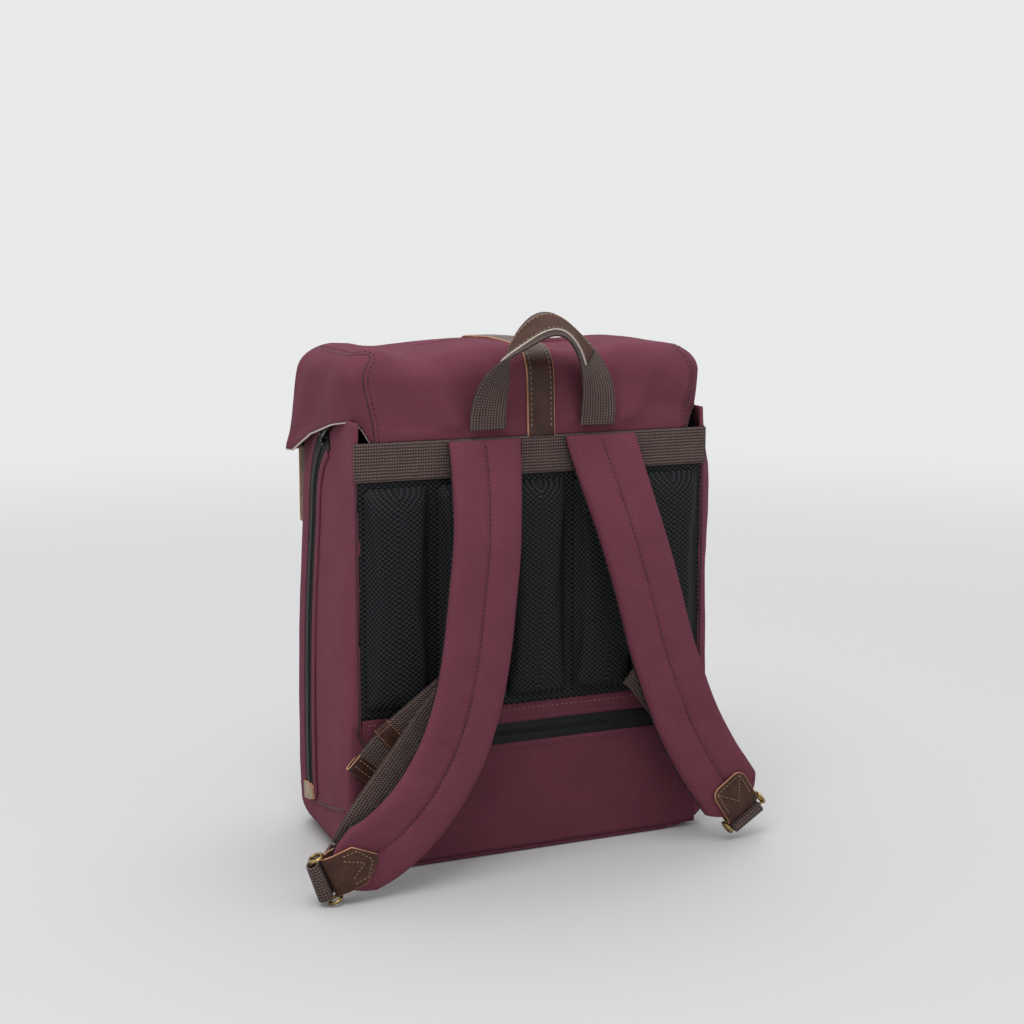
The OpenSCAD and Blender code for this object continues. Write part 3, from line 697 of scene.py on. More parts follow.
def teeth(name, path, across, up, pitch, r, length, lift, node):
    """Two rows of coil turns that mesh along a zip."""
    path = np.asarray(path, float)
    s = lengths(path)
    count = int(s[-1] / pitch)
    across = np.broadcast_to(np.asarray(across, float), path.shape)
    up = np.broadcast_to(np.asarray(up, float), path.shape)
    centres, dirs, ups = [], [], []
    for k in range(2 * count):
        where = (k * 0.5 + 0.5) * pitch
        p, a, n = (np.array([np.interp(where, s, v[:, i]) for i in range(3)]) for v in (path, across, up))
        row = 1 if k % 2 else -1
        centres.append(p + unit(a) * row * length * 0.42 + unit(n) * lift)
        dirs.append(a)
        ups.append(n)
    return grains(name, centres, dirs, ups, length, r, TEETH, "pack", [node], 1.0, 0.9)


def make_mesh_panel():
    low, high = box("back_mesh")
    xs = np.linspace(low[0], high[0], 80)
    zs = np.linspace(low[2], high[2], 60)
    verts = [(x, BACK_Y - 0.2 - 0.5 * ripple((x, 0, z), 0.05, 2.2), z) for z in zs for x in xs]
    solid(piece("mesh_panel", verts, grid_faces(len(zs), len(xs)), MESH, "pack", ["back_mesh"]), 2.0)
    low, high = box("back_band")
    line = np.array([(x, (low[1] + high[1]) / 2,
                      (low[2] + high[2]) / 2) for x in np.linspace(low[0], high[0], 80)])
    line[:, 1] -= 0.7 * bell(line[:, 0], -88, 12) + 0.5 * bell(line[:, 0], 92, 14)
    ribbon("back_band_web", line, np.tile(-UP, (80, 1)), high[2] - low[2], high[1] - low[1], WEB, "pack",
           ["back_band"])


def inflate(thing, voxel, pressure, cap, hold):
    """Swells a pad as cloth under pressure. Points that hold says stay put are put back."""
    data = thing.data
    remesh = thing.modifiers.new("remesh", "REMESH")
    remesh.mode = "VOXEL"
    remesh.voxel_size = voxel * MM
    bake(thing)
    rest = coordinates(thing)
    cloth = thing.modifiers.new("cloth", "CLOTH")
    cloth.settings.use_pressure = True
    cloth.settings.uniform_pressure_force = pressure
    cloth.settings.effector_weights.gravity = 0
    cloth.point_cache.frame_start, cloth.point_cache.frame_end = 1, 20
    for f in range(1, 21):
        bpy.context.scene.frame_set(f)
    bake(thing)
    bpy.context.scene.frame_set(1)
    moved = coordinates(thing)
    shift = moved - rest
    size = np.linalg.norm(shift, axis=1, keepdims=True)
    shift *= np.minimum(1, cap / np.maximum(size, 1e-6))
    moved = rest + shift * hold(rest)[:, None]
    thing.data.vertices.foreach_set("co", (moved * MM).ravel())
    thing.data.update()
    return thing


def coordinates(thing):
    co = np.empty(len(thing.data.vertices) * 3)
    thing.data.vertices.foreach_get("co", co)
    return co.reshape(-1, 3) / MM


def bake(thing):
    """Applies a piece's modifiers."""
    graph = bpy.context.evaluated_depsgraph_get()
    made = bpy.data.meshes.new_from_object(thing.evaluated_get(graph), depsgraph=graph)
    thing.modifiers.clear()
    thing.data = made


def make_pads():
    for k in range(1, 6):
        node = f"back_pad_{k}"
        low, high = box(node)
        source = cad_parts[node].data.copy()
        thing = bpy.data.objects.new(f"pad_{k}", source)
        bpy.context.scene.collection.objects.link(thing)
        middle = (low + high) / 2
        co = coordinates(thing)
        co = middle + (co - middle) * (0.985, 0.9, 0.992)
        source.vertices.foreach_set("co", (co * MM).ravel())
        inflate(thing, 4.0, 4.0, 3.4, lambda p: step(high[1] - 0.5, high[1] - 2.5, p[:, 1]))
        smooth = thing.modifiers.new("smooth", "SUBSURF")
        smooth.levels = smooth.render_levels = 1
        bake(thing)
        pts = coordinates(thing)
        for i, p in enumerate(pts):
            pts[i, 1] -= 0.35 * ripple(p, 0.03, 4.4) * (p[1] < high[1] - 2)
        thing.data.vertices.foreach_set("co", (pts * MM).ravel())
        layer = thing.data.uv_layers.get("cloth") or thing.data.uv_layers.new(name="cloth")
        corner = np.empty(len(thing.data.loops), int)
        thing.data.loops.foreach_get("vertex_index", corner)
        edge = (pts[:, 1] - low[1]) * 1.0
        u = pts[:, 0] + np.sign(pts[:, 0] - middle[0]) * edge
        layer.data.foreach_set("uv", (np.stack([u, pts[:, 2]], 1)[corner] * MM).ravel())
        thing.data.materials.clear()
        thing.data.materials.append(MESH)
        thing.data.polygons.foreach_set("use_smooth", [True] * len(thing.data.polygons))
        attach(thing, "pack")
        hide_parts(node)


make_body()
make_body_seams()
make_back_panel()
make_mesh_panel()
make_pads()


# ---------- side zip ----------

ZIP_Y, ZIP_LOW, ZIP_BEND, BEND_R, BEND_DEG = 23.0, 46.0, 290.0, 59.0, 66.0


def zip_line(off, low=ZIP_LOW, deg=BEND_DEG, lift=0.0):
    """Points beside the side zip's middle line, and the direction towards its front edge at each."""
    at = [(ZIP_Y + off, z, 1.0, 0.0) for z in np.arange(low, ZIP_BEND, 3.0)]
    for a in np.radians(np.arange(0, deg + 0.1, 3.0)):
        r = BEND_R + off
        at.append((ZIP_Y - BEND_R + r * math.cos(a), ZIP_BEND + r * math.sin(a), math.cos(a), math.sin(a)))
    points = np.array([(-(side_x(-1, y, z) + lift), y, z) for y, z, _, _ in at])
    forward = np.array([(0, c, s) for _, _, c, s in at])
    return points, forward


def make_side_zip():
    left = (-1.0, 0.0, 0.0)
    points, forward = zip_line(0, lift=0.9)
    ribbon("side_tape", points, -forward, 25.5, 0.7, TAPE, "pack", ["side_zip_tape"])
    for word, off in (("front", 6.8), ("back", -6.8)):
        rib, turn = zip_line(off, lift=1.3)
        ribbon(f"side_tape_rib_{word}", rib, -turn, 1.3, 0.6, TAPE, "pack")
    teeth("side_teeth", points, forward, left, 1.9, 0.92, 3.5, 1.0, "side_zip_coil")
    for word, off in (("front", 14.6), ("back", -14.6)):
        welt, turn = zip_line(off, ZIP_LOW - 4, 60, 1.1)
        ribbon(f"side_welt_{word}", welt, -turn, 7.0, 2.2, CANVAS_PAINTED_LIGHT, "pack", round_r=1.0)
        row, _ = zip_line(off * 1.09, ZIP_LOW - 2, 58, 2.25)
        stitches(f"side_welt_stitch_{word}", row, THREAD_DARK, "pack", up=left, r=0.34,
                 length=2.3, gap=1.7)
    # Leather end patch: a slab that lies over the zip's lower end
    outline = [(10, 47.5), (23, 48.8), (36.5, 46.0), (36.5, 31.0), (23, 33.2), (10, 37.5)]
    verts, faces, ids = [], [], []
    n = len(outline)
    for lift, inset in ((1.2, 0.0), (3.2, 0.0), (3.6, 0.5)):
        for y, z in outline:
            cy, cz = y + (23 - y) * inset / 13, z + (40 - z) * inset / 8
            verts.append((-(side_x(-1, cy, cz) + lift), cy, cz))
    for i in range(2):
        for j in range(n):
            k = (j + 1) % n
            faces.append((i * n + j, (i + 1) * n + j, (i + 1) * n + k, i * n + k))
            ids.append(1)
    faces += [tuple(2 * n + j for j in range(n - 1, -1, -1)), tuple(range(n))]
    ids += [0, 1]
    piece("side_patch", verts, faces, [SUEDE, CUT_EDGE], "pack", ["side_zip_patch"], ids=ids,
          flat=True)


# ---------- lid ----------

LID_LOW, LID_HIGH = box("lid_shell")
LID_SHOULDER = 385.0
LID_COUNTS = (111, 44, 11)  # points along the back or front, along a side, and round a corner
LID_FLAT_ROW = 34  # rows from here on lie on the lid's top


def lid_hem(x, y):
    flap = np.interp(y, (-78, -60, -42, 13, 40, 53, 100), (359, 358, 355, 342, 330, 324, 320.5))
    return flap if y > -66 else SEAM_Z - 5.0 + (flap - SEAM_Z + 5.0) * step(153, 162, abs(x))


FOLDS = (  # start, end, radius and height of each soft fold
    ((-49, -78, 350), (-74, -74, 402), 10, -2.2), ((-62, -78, 350), (-98, -74, 400), 13, 2.0),
    ((-100, -78, 352), (-128, -74, 392), 15, -1.6), ((-38, -78, 352), (-36, -74, 405), 6, 1.2),
    ((-22, -78, 349), (-27, -74, 400), 7, -1.3), ((30, -78, 352), (28, -74, 404), 8, 1.5),
    ((62, -78, 350), (78, -74, 404), 9, -2.3), ((80, -78, 352), (104, -74, 402), 12, 2.2),
    ((104, -78, 366), (138, -74, 356), 9, -1.5), ((110, -78, 398), (140, -74, 372), 11, 1.8),
    ((-95, -60, 409), (-92, 60, 409), 20, -4.2), ((-128, -50, 407), (-126, 60, 407), 13, 2.2),
    ((-30, -50, 410), (-12, 70, 410), 30, 2.6), ((34, -60, 410), (40, 60, 410), 16, -1.5),
    ((96, -50, 410), (112, 60, 410), 24, 1.6), ((60, -40, 410), (64, 40, 410), 12, -1.2),
    ((-162, -20, 400), (-163, 30, 332), 14, -1.4), ((-162, 20, 398), (-163, 66, 330), 13, 1.8),
    ((162, -20, 400), (163, 20, 340), 14, 1.5), ((162, 30, 398), (163, 66, 330), 13, -1.4))


def lid_soft(p):
    """How far the lid's cloth is pushed out of its form at a point."""
    push = 0.0
    for a, b, r, high in FOLDS:
        a, b = np.array(a, float), np.array(b, float)
        d = b - a
        t = np.clip(np.dot(p - a, d) / np.dot(d, d), 0, 1)
        fade = 1 - 0.55 * t
        gap = np.linalg.norm(p - a - d * t)
        if gap < 3 * r:
            push += 1.7 * high * fade * math.exp(-((gap / r) ** 2))
    push += 0.9 * ripple(p, 0.022, 5.3) + 0.3 * ripple(p, 0.06, 9.1)
    return push


def lid_waist(y, z):
    """The lid's back wall narrows towards its hem."""
    return 1 - (1 - step(-78, -38, y)) * (0.01 + 0.095 * (1 - step(340, 402, z)))


def lid_grid():
    mid = (LID_LOW[1] + LID_HIGH[1]) / 2
    rows = []

    def ring(half, y0, y1, r):
        return rounded_ring(half, y0, y1, r, r, LID_COUNTS)

    low_back, low_front, low_half = LID_LOW[1], LID_HIGH[1], LID_HIGH[0]
    for t in np.linspace(0, 1, 22):
        pts = []
        for x, y in ring(low_half, low_back, low_front, 18):
            z = lid_hem(x, y) + (LID_SHOULDER - lid_hem(x, y)) * t
            share = (z - 316) / (LID_SHOULDER - 316)
            pts.append((x * lid_waist(y, z) * (1 - 0.045 * share), mid + (y - mid) * (1 - 0.048 * share), z))
        rows.append(pts)
    last = np.array(rows[-1])
    half, y0, y1 = last[:, 0].max(), last[:, 1].min(), last[:, 1].max()
    for a in np.radians(np.linspace(9, 90, 10)):
        tuck = 1 - math.cos(a)
        inset = 22 * tuck
        z = LID_SHOULDER + 24.5 * math.sin(a)
        rows.append([(x * lid_waist(y, z), y, z)
                     for x, y in ring(half - inset, y0 + inset * 0.9, y1 - inset * 0.9, 18 + 6 * tuck)])
    flat = np.array(rows[-1])
    half, y0, y1 = flat[:, 0].max(), flat[:, 1].min(), flat[:, 1].max()
    for s in np.linspace(0.94, 0.04, 16):
        deep = (y1 - y0) / 2 * s
        wide = half - (1 - s) * (y1 - y0) / 2
        rows.append([(x * lid_waist(y, 410), y, flat[0, 2] + 2.2 * (1 - s ** 2))
                     for x, y in ring(wide, (y0 + y1) / 2 - deep, (y0 + y1) / 2 + deep, max(24 * s, 1))])
    grid = np.array(rows)
    normal = surface_normals(grid)
    normal[LID_FLAT_ROW:] = UP
    out = grid.copy()
    for i in range(grid.shape[0]):
        near_hem = step(0, 5, i)
        for j in range(grid.shape[1]):
            p = grid[i, j]
            push = lid_soft(p)
            if p[1] < -72:
                push = push * step(346, 356, p[2]) if p[2] < 356 else push
            flare = 2.4 * (1 - near_hem) * step(-10, 60, p[1]) * step(150, 160, abs(p[0]))
            out[i, j] = p + normal[i, j] * (push * (0.35 + 0.65 * near_hem) + flare)
    out[..., 2] = np.minimum(out[..., 2], LID_HIGH[2] + 4)
    return out


LID = lid_grid()
LID_UP = surface_normals(LID)
LID_UP[LID_FLAT_ROW:] = UP


def thick_grid(name, outer, normal, near, far, look, body, stands_for):
    """A closed shell between two offsets of a grid of rings."""
    rows, cols = outer.shape[:2]
    a, b = outer + normal * near, outer + normal * far
    both = np.concatenate([a, b[::-1]])
    faces = grid_faces(2 * rows, cols, True)
    middle = (rows - 1) * cols
    faces = [f for f in faces if not (middle <= f[0] < middle + cols)]
    faces.append(tuple(middle + j for j in range(cols)))
    faces.append(tuple(middle + cols + j for j in range(cols - 1, -1, -1)))
    last = (2 * rows - 1) * cols
    for j in range(cols):
        k = (j + 1) % cols
        faces.append((last + j, last + k, k, j))
    return piece(name, both.reshape(-1, 3), faces, look, body, stands_for)


def make_lid():
    thick_grid("lid_cloth", LID, LID_UP, 0.0, -2.4, CANVAS, "lid", ["lid_shell"])
    inner = LID.copy()
    inner[0] = LID[1] * 0.7 + LID[0] * 0.3
    thick_grid("lid_inside", inner, LID_UP, -2.7, -3.5, LID_LINING, "lid", ["lid_lining"])
    wide, deep, turn = LID_COUNTS
    hem = LID[0] + LID_UP[0] * -0.9
    around = slice(wide + 2, 2 * wide + 2 * deep + 4 * turn - 2)
    cord = resample(hem[around], 2.5) + (0, 0, -0.1)
    cord_line("lid_raw_edge", cord, 0.95, RAW_EDGE, "lid", 6)
    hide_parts("lid_binding")
    row = LID[1, around] * 0.35 + LID[2, around] * 0.65
    stitches("lid_hem_stitch", row, THREAD_DARK, "lid",
             up=LID_UP[1, around], r=0.34, length=2.3, gap=1.9, lift=0.1)
    # Seam between the back piece and each side flap, up the corner and along the top's edge
    n = LID.shape[1]
    for word, col, along, sign in (("left", n - 3, range(n - 4, n - 4 - deep - 6, -1), -1),
                                   ("right", wide + 2, range(wide + 3, wide + 3 + deep + 6), 1)):
        up_rows = [(r, col) for r in range(0, 28)]
        top = [(28, c) for c in along]
        at = np.array([LID[r, c] for r, c in up_rows + top])
        ups = np.array([LID_UP[r, c] for r, c in up_rows + top])
        s = lengths(at)
        seam = resample(at, 2.5)
        where = np.linspace(0, s[-1], len(seam))
        n_up = unit(np.stack([np.interp(where, s, ups[:, k]) for k in range(3)], 1))
        cord_line(f"lid_seam_{word}", seam - n_up * 0.15, 0.62, THREAD_DARK, "lid", 6)
        inside = np.cross(n_up, tangents(seam)) * sign
        row = seam + inside * 3.6
        stitches(f"lid_seam_stitch_{word}", row, THREAD_DARK, "lid", up=n_up, r=0.36, length=2.4,
                 gap=1.8, lift=0.1)


def lid_middle(x):
    """The line over the lid at a distance across, from its back hem to its front hem."""
    wide, deep, turn = LID_COUNTS
    back, front = [], []
    for r in range(len(LID)):
        b = LID[r, :wide]
        f = LID[r, wide + 2 * turn + deep:2 * wide + 2 * turn + deep]
        order = np.argsort(f[:, 0])
        if b[:, 0].min() < x < b[:, 0].max():
            back.append([x] + [np.interp(x, b[:, 0], b[:, k]) for k in (1, 2)])
            front.append([x] + [np.interp(x, f[order, 0], f[order, k]) for k in (1, 2)])
    return np.array(back + front[::-1])


def make_lid_strap():
    low, high = box("lid_strap")
    x = (low[0] + high[0]) / 2
    line = lid_middle(x)
    tail = [(x, line[-1, 1] - 0.5, line[-1, 2] - 6), (x, DEEP + 5.0, 306), (x, DEEP + 3.8, 292),
            (x, DEEP + 3.6, low[2] + 1)]
    path = resample(spline(np.vstack([line[::3], tail]), 4), 3.5)
    wide = np.tile((1.0, 0, 0), (len(path), 1))
    ribbon("lid_leather_strap", path, wide, high[0] - low[0], 2.0, LEATHER, "lid", ["lid_strap"],
           lift=1.3,
           edge=CUT_EDGE, width=lambda u: min(1.0, 0.35 + (1 - u) * 26, 1.0), belly=0.25)
    up = unit(np.cross(wide, tangents(path)))
    for word, off in (("left", -8.4), ("right", 8.4)):
        row = path + wide * off + up * 2.35
        stitches(f"lid_strap_stitch_{word}", row[2:-3], THREAD_TAN, "lid", up=up[2:-3], r=0.40,
                 length=2.6, gap=1.5)


# ---------- handle ----------

HANDLE_HALF = ((47, 4.7, SEAM_Z + 2.6), (47, 6.2, 362), (45, 9, 378), (38, 12, 396), (26, 15, 414),
               (12, 17.5, 427),
               (0, 18, 431))
HANDLE_TILT = math.radians(33)


def make_handle():
    left = [(HARNESS_X - x, BACK_Y - b, z) for x, b, z in HANDLE_HALF]
    right = [(HARNESS_X + x, BACK_Y - b, z) for x, b, z in HANDLE_HALF[-2::-1]]
    path = spline(left + right, 8)
    share = np.linspace(0, 1, len(path))
    turn = np.sin(math.pi * share)[:, None] ** 2.2
    tilted = np.array([0, math.cos(HANDLE_TILT), math.sin(HANDLE_TILT)])
    wide = np.array([1.0, 0, 0]) * (1 - turn) * 1.2 + tilted * turn
    ribbon("handle_web", path, wide, 30, 2.6, WEB, "handle", ["handle_webbing"], round_r=1.0)
    tan = tangents(path)
    flat = unit(wide - tan * np.sum(wide * tan, axis=1, keepdims=True))
    up = unit(np.cross(flat, tan))
    cut = slice(int(len(path) * 0.27), int(len(path) * 0.73))
    ribbon("handle_strip", path[cut], wide[cut], 21, 1.7, NUBUCK, "handle", ["handle_leather"],
           lift=-2.3,
           edge=RAW_EDGE, round_r=0.6)
    for word, off in (("front", 8.2), ("back", -8.2)):
        row = path[cut] + flat[cut] * off - up[cut] * 3.15
        stitches(f"handle_stitch_{word}", row[2:-2], THREAD_TAN, "handle", up=-up[cut][2:-2],
                 r=0.36,
                 length=2.4, gap=1.4)


# ---------- straps ----------

STRAP = {1: ((49.5, 5.2, SEAM_Z - 5.5), (55, 16, 312), (65, 32, 266), (76, 39, 222), (86, 43, 180),
             (97, 45, 146),
             (112, 46, 108), (131, 45, 74), (147, 44, 51), (162, 42, 30)),
         -1: ((49.5, 5.2, SEAM_Z - 5.5), (52, 16, 312), (58, 32, 266), (65, 39, 222), (72, 44, 180),
              (81, 47, 142),
              (96, 49, 104), (120, 50, 68), (151, 50, 41), (186, 49, 26))}
STRAP_W, STRAP_T = 56.0, 13.0
WORD = {-1: "left", 1: "right"}


def placed(route):
    return [(p[0], BACK_Y - p[1], p[2]) for p in route]


def mirrored(points, side):
    """From one side's harness coordinates to the object's frame."""
    return np.asarray(points, float) * (side, 1, 1) + (HARNESS_X, 0, 0)


def strap_line(side, steps):
    return spline(placed(STRAP[side]), steps)


def strap_frame(side, steps=12):
    """Middle line, directions and sizes along a strap, in harness coordinates."""
    path = strap_line(side, steps)
    n = len(path) - 1
    along = tangents(path)
    blend_in = np.clip(1 - np.arange(n + 1) / steps * 3, 0, 1)[:, None]
    along = unit(along * (1 - blend_in) + unit((0, -0.3, -1)) * blend_in)
    wide = unit(np.cross(along, OUT))
    up = unit(np.cross(wide, along))
    u = np.arange(n + 1) / n
    thick = STRAP_T * np.minimum(np.minimum(1, 0.3 + u * 5), 0.6 + (1 - u) * 3)
    width = STRAP_W * np.minimum(np.maximum(1, 1.09 - 0.45 * u), np.sqrt(0.22 + (1 - u) * 12))
    return path, along, wide, up, thick, width


def strap_skin(side, section, name, look, stands_for, groove=0.0):
    path, along, wide, up, thick, width = strap_frame(side)
    rings = []
    n = len(path) - 1
    stations = [(i, 0.0, 1.0, 1.0) for i in range(n + 1)]
    stations += [(n, 1.6, 0.93, 0.9), (n, 2.8, 0.8, 0.68), (n, 3.4, 0.66, 0.35)]
    for i, reach, share_w, share_t in stations:
        c = path[i] + along[i] * reach
        ring = []
        for x, y in section:
            off = x * width[i] / 2 * share_w
            high = y * thick[i] / 2 * share_t
            p = c + wide[i] * off + up[i] * high
            if y > 0.55 and groove:
                middle = groove * math.exp(-((off / 2.0) ** 2)) + 0.4 * groove * math.exp(-((off / 7.0) ** 2))
                p = p - up[i] * middle
                soft = 0.55 * ripple(p, 0.05, side * 4.0) + 0.35 * ripple(p * (1, 1, 2.4), 0.07, side * 9.0)
                p = p + up[i] * soft * share_t
            ring.append(p)
        rings.append(ring)
    rings = mirrored(rings, side)
    if side < 0:
        rings = rings[:, ::-1]
    rows, cols = rings.shape[:2]
    along_v = lengths(rings.mean(1))
    xs = np.array([x for x, _ in section]) * STRAP_W / 2
    if side < 0:
        xs = xs[::-1]
    us = np.concatenate([xs, xs[:1]])
    faces = grid_faces(rows, cols, True)
    uvs = grid_map(us, along_v)
    for ring, order in ((0, range(cols - 1, -1, -1)), (rows - 1, range(cols))):
        faces.append(tuple(ring * cols + j for j in order))
        uvs += [(us[j], along_v[ring]) for j in order]
    thing = piece(name, rings.reshape(-1, 3), faces, look, f"strap_{WORD[side]}", stands_for, uvs)
    return thing


def cover_section():
    xs = np.linspace(-1, 1, 41)
    top = [(x, 0.98 * (1 - abs(x) ** 5) ** 0.42 if abs(x) < 1 else 0.0) for x in xs]
    under = [(x, y) for x,
             y in ((0.99, -0.25), (0.95, -0.42), (0.5, -0.45), (-0.5, -0.45), (-0.95, -0.42), (-0.99, -0.25))]
    return top + under


def lining_section():
    low = [(x, -0.46 - 0.52 * (1 - abs(x / 0.97) ** 4) ** 0.5) for x in np.linspace(0.965, -0.965, 25)]
    return [(-0.95, -0.38), (-0.5, -0.4), (0.5, -0.4), (0.95, -0.38)] + low


def make_straps():
    for side in (-1, 1):
        word = WORD[side]
        body = f"strap_{word}"
        strap_skin(side, cover_section()[::-1], f"strap_cloth_{word}", CANVAS,
                   [f"strap_{word}_cover", f"strap_{word}_foam"], 1.5)
        strap_skin(side, lining_section()[::-1], f"strap_lining_{word}", MESH, [f"strap_{word}_mesh"])
        path, along, wide, up, thick, width = strap_frame(side)
        groove = mirrored(path + up * (thick / 2 * 0.98 - 1.75)[:, None], side)
        ups = up * (side, 1, 1)
        stitches(f"strap_seam_{word}", groove[2:-14], THREAD_DARK, body, up=ups[2:-14], r=0.45,
                 length=2.6,
                 gap=1.3, lift=0.05)
        for edge in (-1, 1):
            reach, drop = edge * width / 2 * 0.975, thick / 2 * 0.40
            at = mirrored(path + wide * reach[:, None] - up * drop[:, None], side)
            name = f"strap_edge_{word}_{'in' if edge * side > 0 else 'out'}"
            cord_line(name, resample(at, 5), 1.15, MESH, body, 8)


# ---------- strap ends ----------

BAR_GAP, BAR_R = 5.0, 1.2
TAB_W, TAB_T = 33.0, 1.8


def strap_end(side):
    """Buckle middle, and directions across, along and out of a strap's end, in harness coordinates."""
    path = strap_line(side, 3)
    t0 = unit(path[-1] - path[-2])
    w0 = unit(np.cross(t0, OUT))
    out = unit(np.cross(w0, t0))
    turn = math.radians(2 if side < 0 else 0)
    t = t0 * math.cos(turn) - np.cross(out, t0) * math.sin(turn)
    return path[-1] + t0 * (4.5 if side < 0 else 3) + t * 7, np.cross(t, out), t, out


def end_place(side, points):
    """From buckle coordinates, across, along and out, to the object's frame."""
    c, w, t, out = strap_end(side)
    pts = np.asarray(points, float)
    return mirrored(c + pts[:, :1] * w + pts[:, 1:2] * t + pts[:, 2:] * out, side)


def make_tabs():
    for side in (-1, 1):
        word = WORD[side]
        face = STRAP_T * 0.3 + TAB_T / 2 + 0.4
        wrap = BAR_R + 0.3 + TAB_T / 2
        route = [(-42, face + 3.0), (-28, face + 2.0), (-16, face + 0.9), (-10, face + 0.1)]
        route += [(-BAR_GAP + wrap * math.cos(math.radians(a)) * 1.05, wrap * math.sin(math.radians(a)) * 1.2)
                  for a in range(60, -61, -30)]
        route += [(-10, -face - 0.4), (-16, -face - 0.7), (-26, -face - 1.4)]
        local = resample(np.array(spline([(0, y, z) for y, z in route], 6)), 1.6)
        path = end_place(side, local)
        across = unit(end_place(side, [(1, 0, 0)])[0] - end_place(side, [(0, 0, 0)])[0])
        if side > 0:
            across = -across
        wide = np.tile(across * (1 if side > 0 else -1), (len(path), 1))
        total = lengths(local)[-1]
        if side < 0:
            shape = lambda u: min(1.0, 0.10 + u * total / 17)
        else:
            shape = lambda u: min(1.0, 0.62 + 0.38 * math.sqrt(min(1.0, u * total / 7)))
        ribbon(f"strap_end_tab_{word}", path, wide, TAB_W, TAB_T, NUBUCK, f"strap_{word}",
               [f"strap_{word}_tab"], width=shape, edge=CUT_EDGE, round_r=0.5, segs=2)
        top = face + 2.0 + TAB_T / 2 + 0.25
        if side < 0:
            rows = [[(-12.5, -17, top - 1.1), (-11.5, -29, top), (0, -37, top + 0.9), (11.5, -29, top),
                     (12.5, -17, top - 1.1)],
                    [(-9, -16.5, top - 1.1), (0, -31, top + 0.2), (9, -16.5, top - 1.1)]]
        else:
            rows = [[(-12.5, -16, top - 1.2), (-12.5, -38.5, top + 0.9), (12.5, -38.5, top + 0.9),
                     (12.5, -16, top - 1.2)],
                    [(-12.5, -38, top + 0.9), (0, -18, top - 0.9), (12.5, -38, top + 0.9)]]
        out = unit(end_place(side, [(0, 0, 1)])[0] - end_place(side, [(0, 0, 0)])[0])
        for k, row in enumerate(rows):
            stitches(f"tab_stitch_{word}_{k + 1}", resample(end_place(side, row), 1.5), THREAD_TAN,
                     f"strap_{word}",
                     up=out, r=0.34, length=2.0, gap=1.2)


# ---------- adjuster webbing ----------

FOLD = (77, 14, 149)
LEG_IN = ((150, 3.4, 84), (127, 5.8, 110), (102, 9.6, 131))
LEG_OUT = {1: ((101, 20, 120), (124, 28, 88), (142, 33, 62)),
           -1: ((104, 22, 122), (132, 32, 93), (160, 39, 63))}
WEB_LOOP = ((-6, -7.7), (-0.5, -3), (1.6, 2.6), (5, 4.6), (8.6, 2.6), (9.6, -3), (7, -8.2), (0, -10.5))
WEB_FLAT = unit((0.64, 0, 0.77))


def web_layer(side, lift):
    c, _, t, out = strap_end(side)
    end = c - t * 13 - out * (8.6 + lift)
    fold = np.array(placed([FOLD])[0])
    shift = np.array([0, -lift, 0])
    turn_r = 5.5 - lift
    turn = unit((0.77, 0, -0.64))
    bend = [fold + turn * (8 - turn_r * math.cos(a)) + (0, turn_r * math.sin(a), 0)
            for a in np.radians(range(60, -61, -40))]
    return ([np.array(p) + shift for p in placed(LEG_IN)] + bend
            + [np.array(p) - shift for p in placed(LEG_OUT[side])] + [end])


def make_webbing():
    for side in (-1, 1):
        word = WORD[side]
        c, w, t, out = strap_end(side)
        route = web_layer(side, 0) + [c + t * a + out * b for a, b in WEB_LOOP] + web_layer(side, 2.1)[::-1]
        path = resample(spline(route, 8), 2.5)
        near = np.clip(1 - np.linalg.norm(path - c, axis=1) / 60, 0, 1)[:, None]
        wide = WEB_FLAT * (1 - near) + w * near
        path, wide = mirrored(path, side), wide * (side, 1, 1)
        if side < 0:
            wide = -wide
        web = ribbon(f"adjuster_web_{word}", path, wide, 30, 1.6, WEB, None, [f"webbing_{word}"],
                     round_r=0.7)
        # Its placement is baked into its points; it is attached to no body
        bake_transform(web)


def leg_frame():
    """A point on the inner leg, and directions along, away from the panel and across the webbing."""
    p, q = (np.array(placed([LEG_IN[k]])[0]) for k in (1, 2))
    x = unit(q - p)
    z = unit(WEB_FLAT - x * np.dot(WEB_FLAT, x))
    return p, x, np.cross(z, x), z


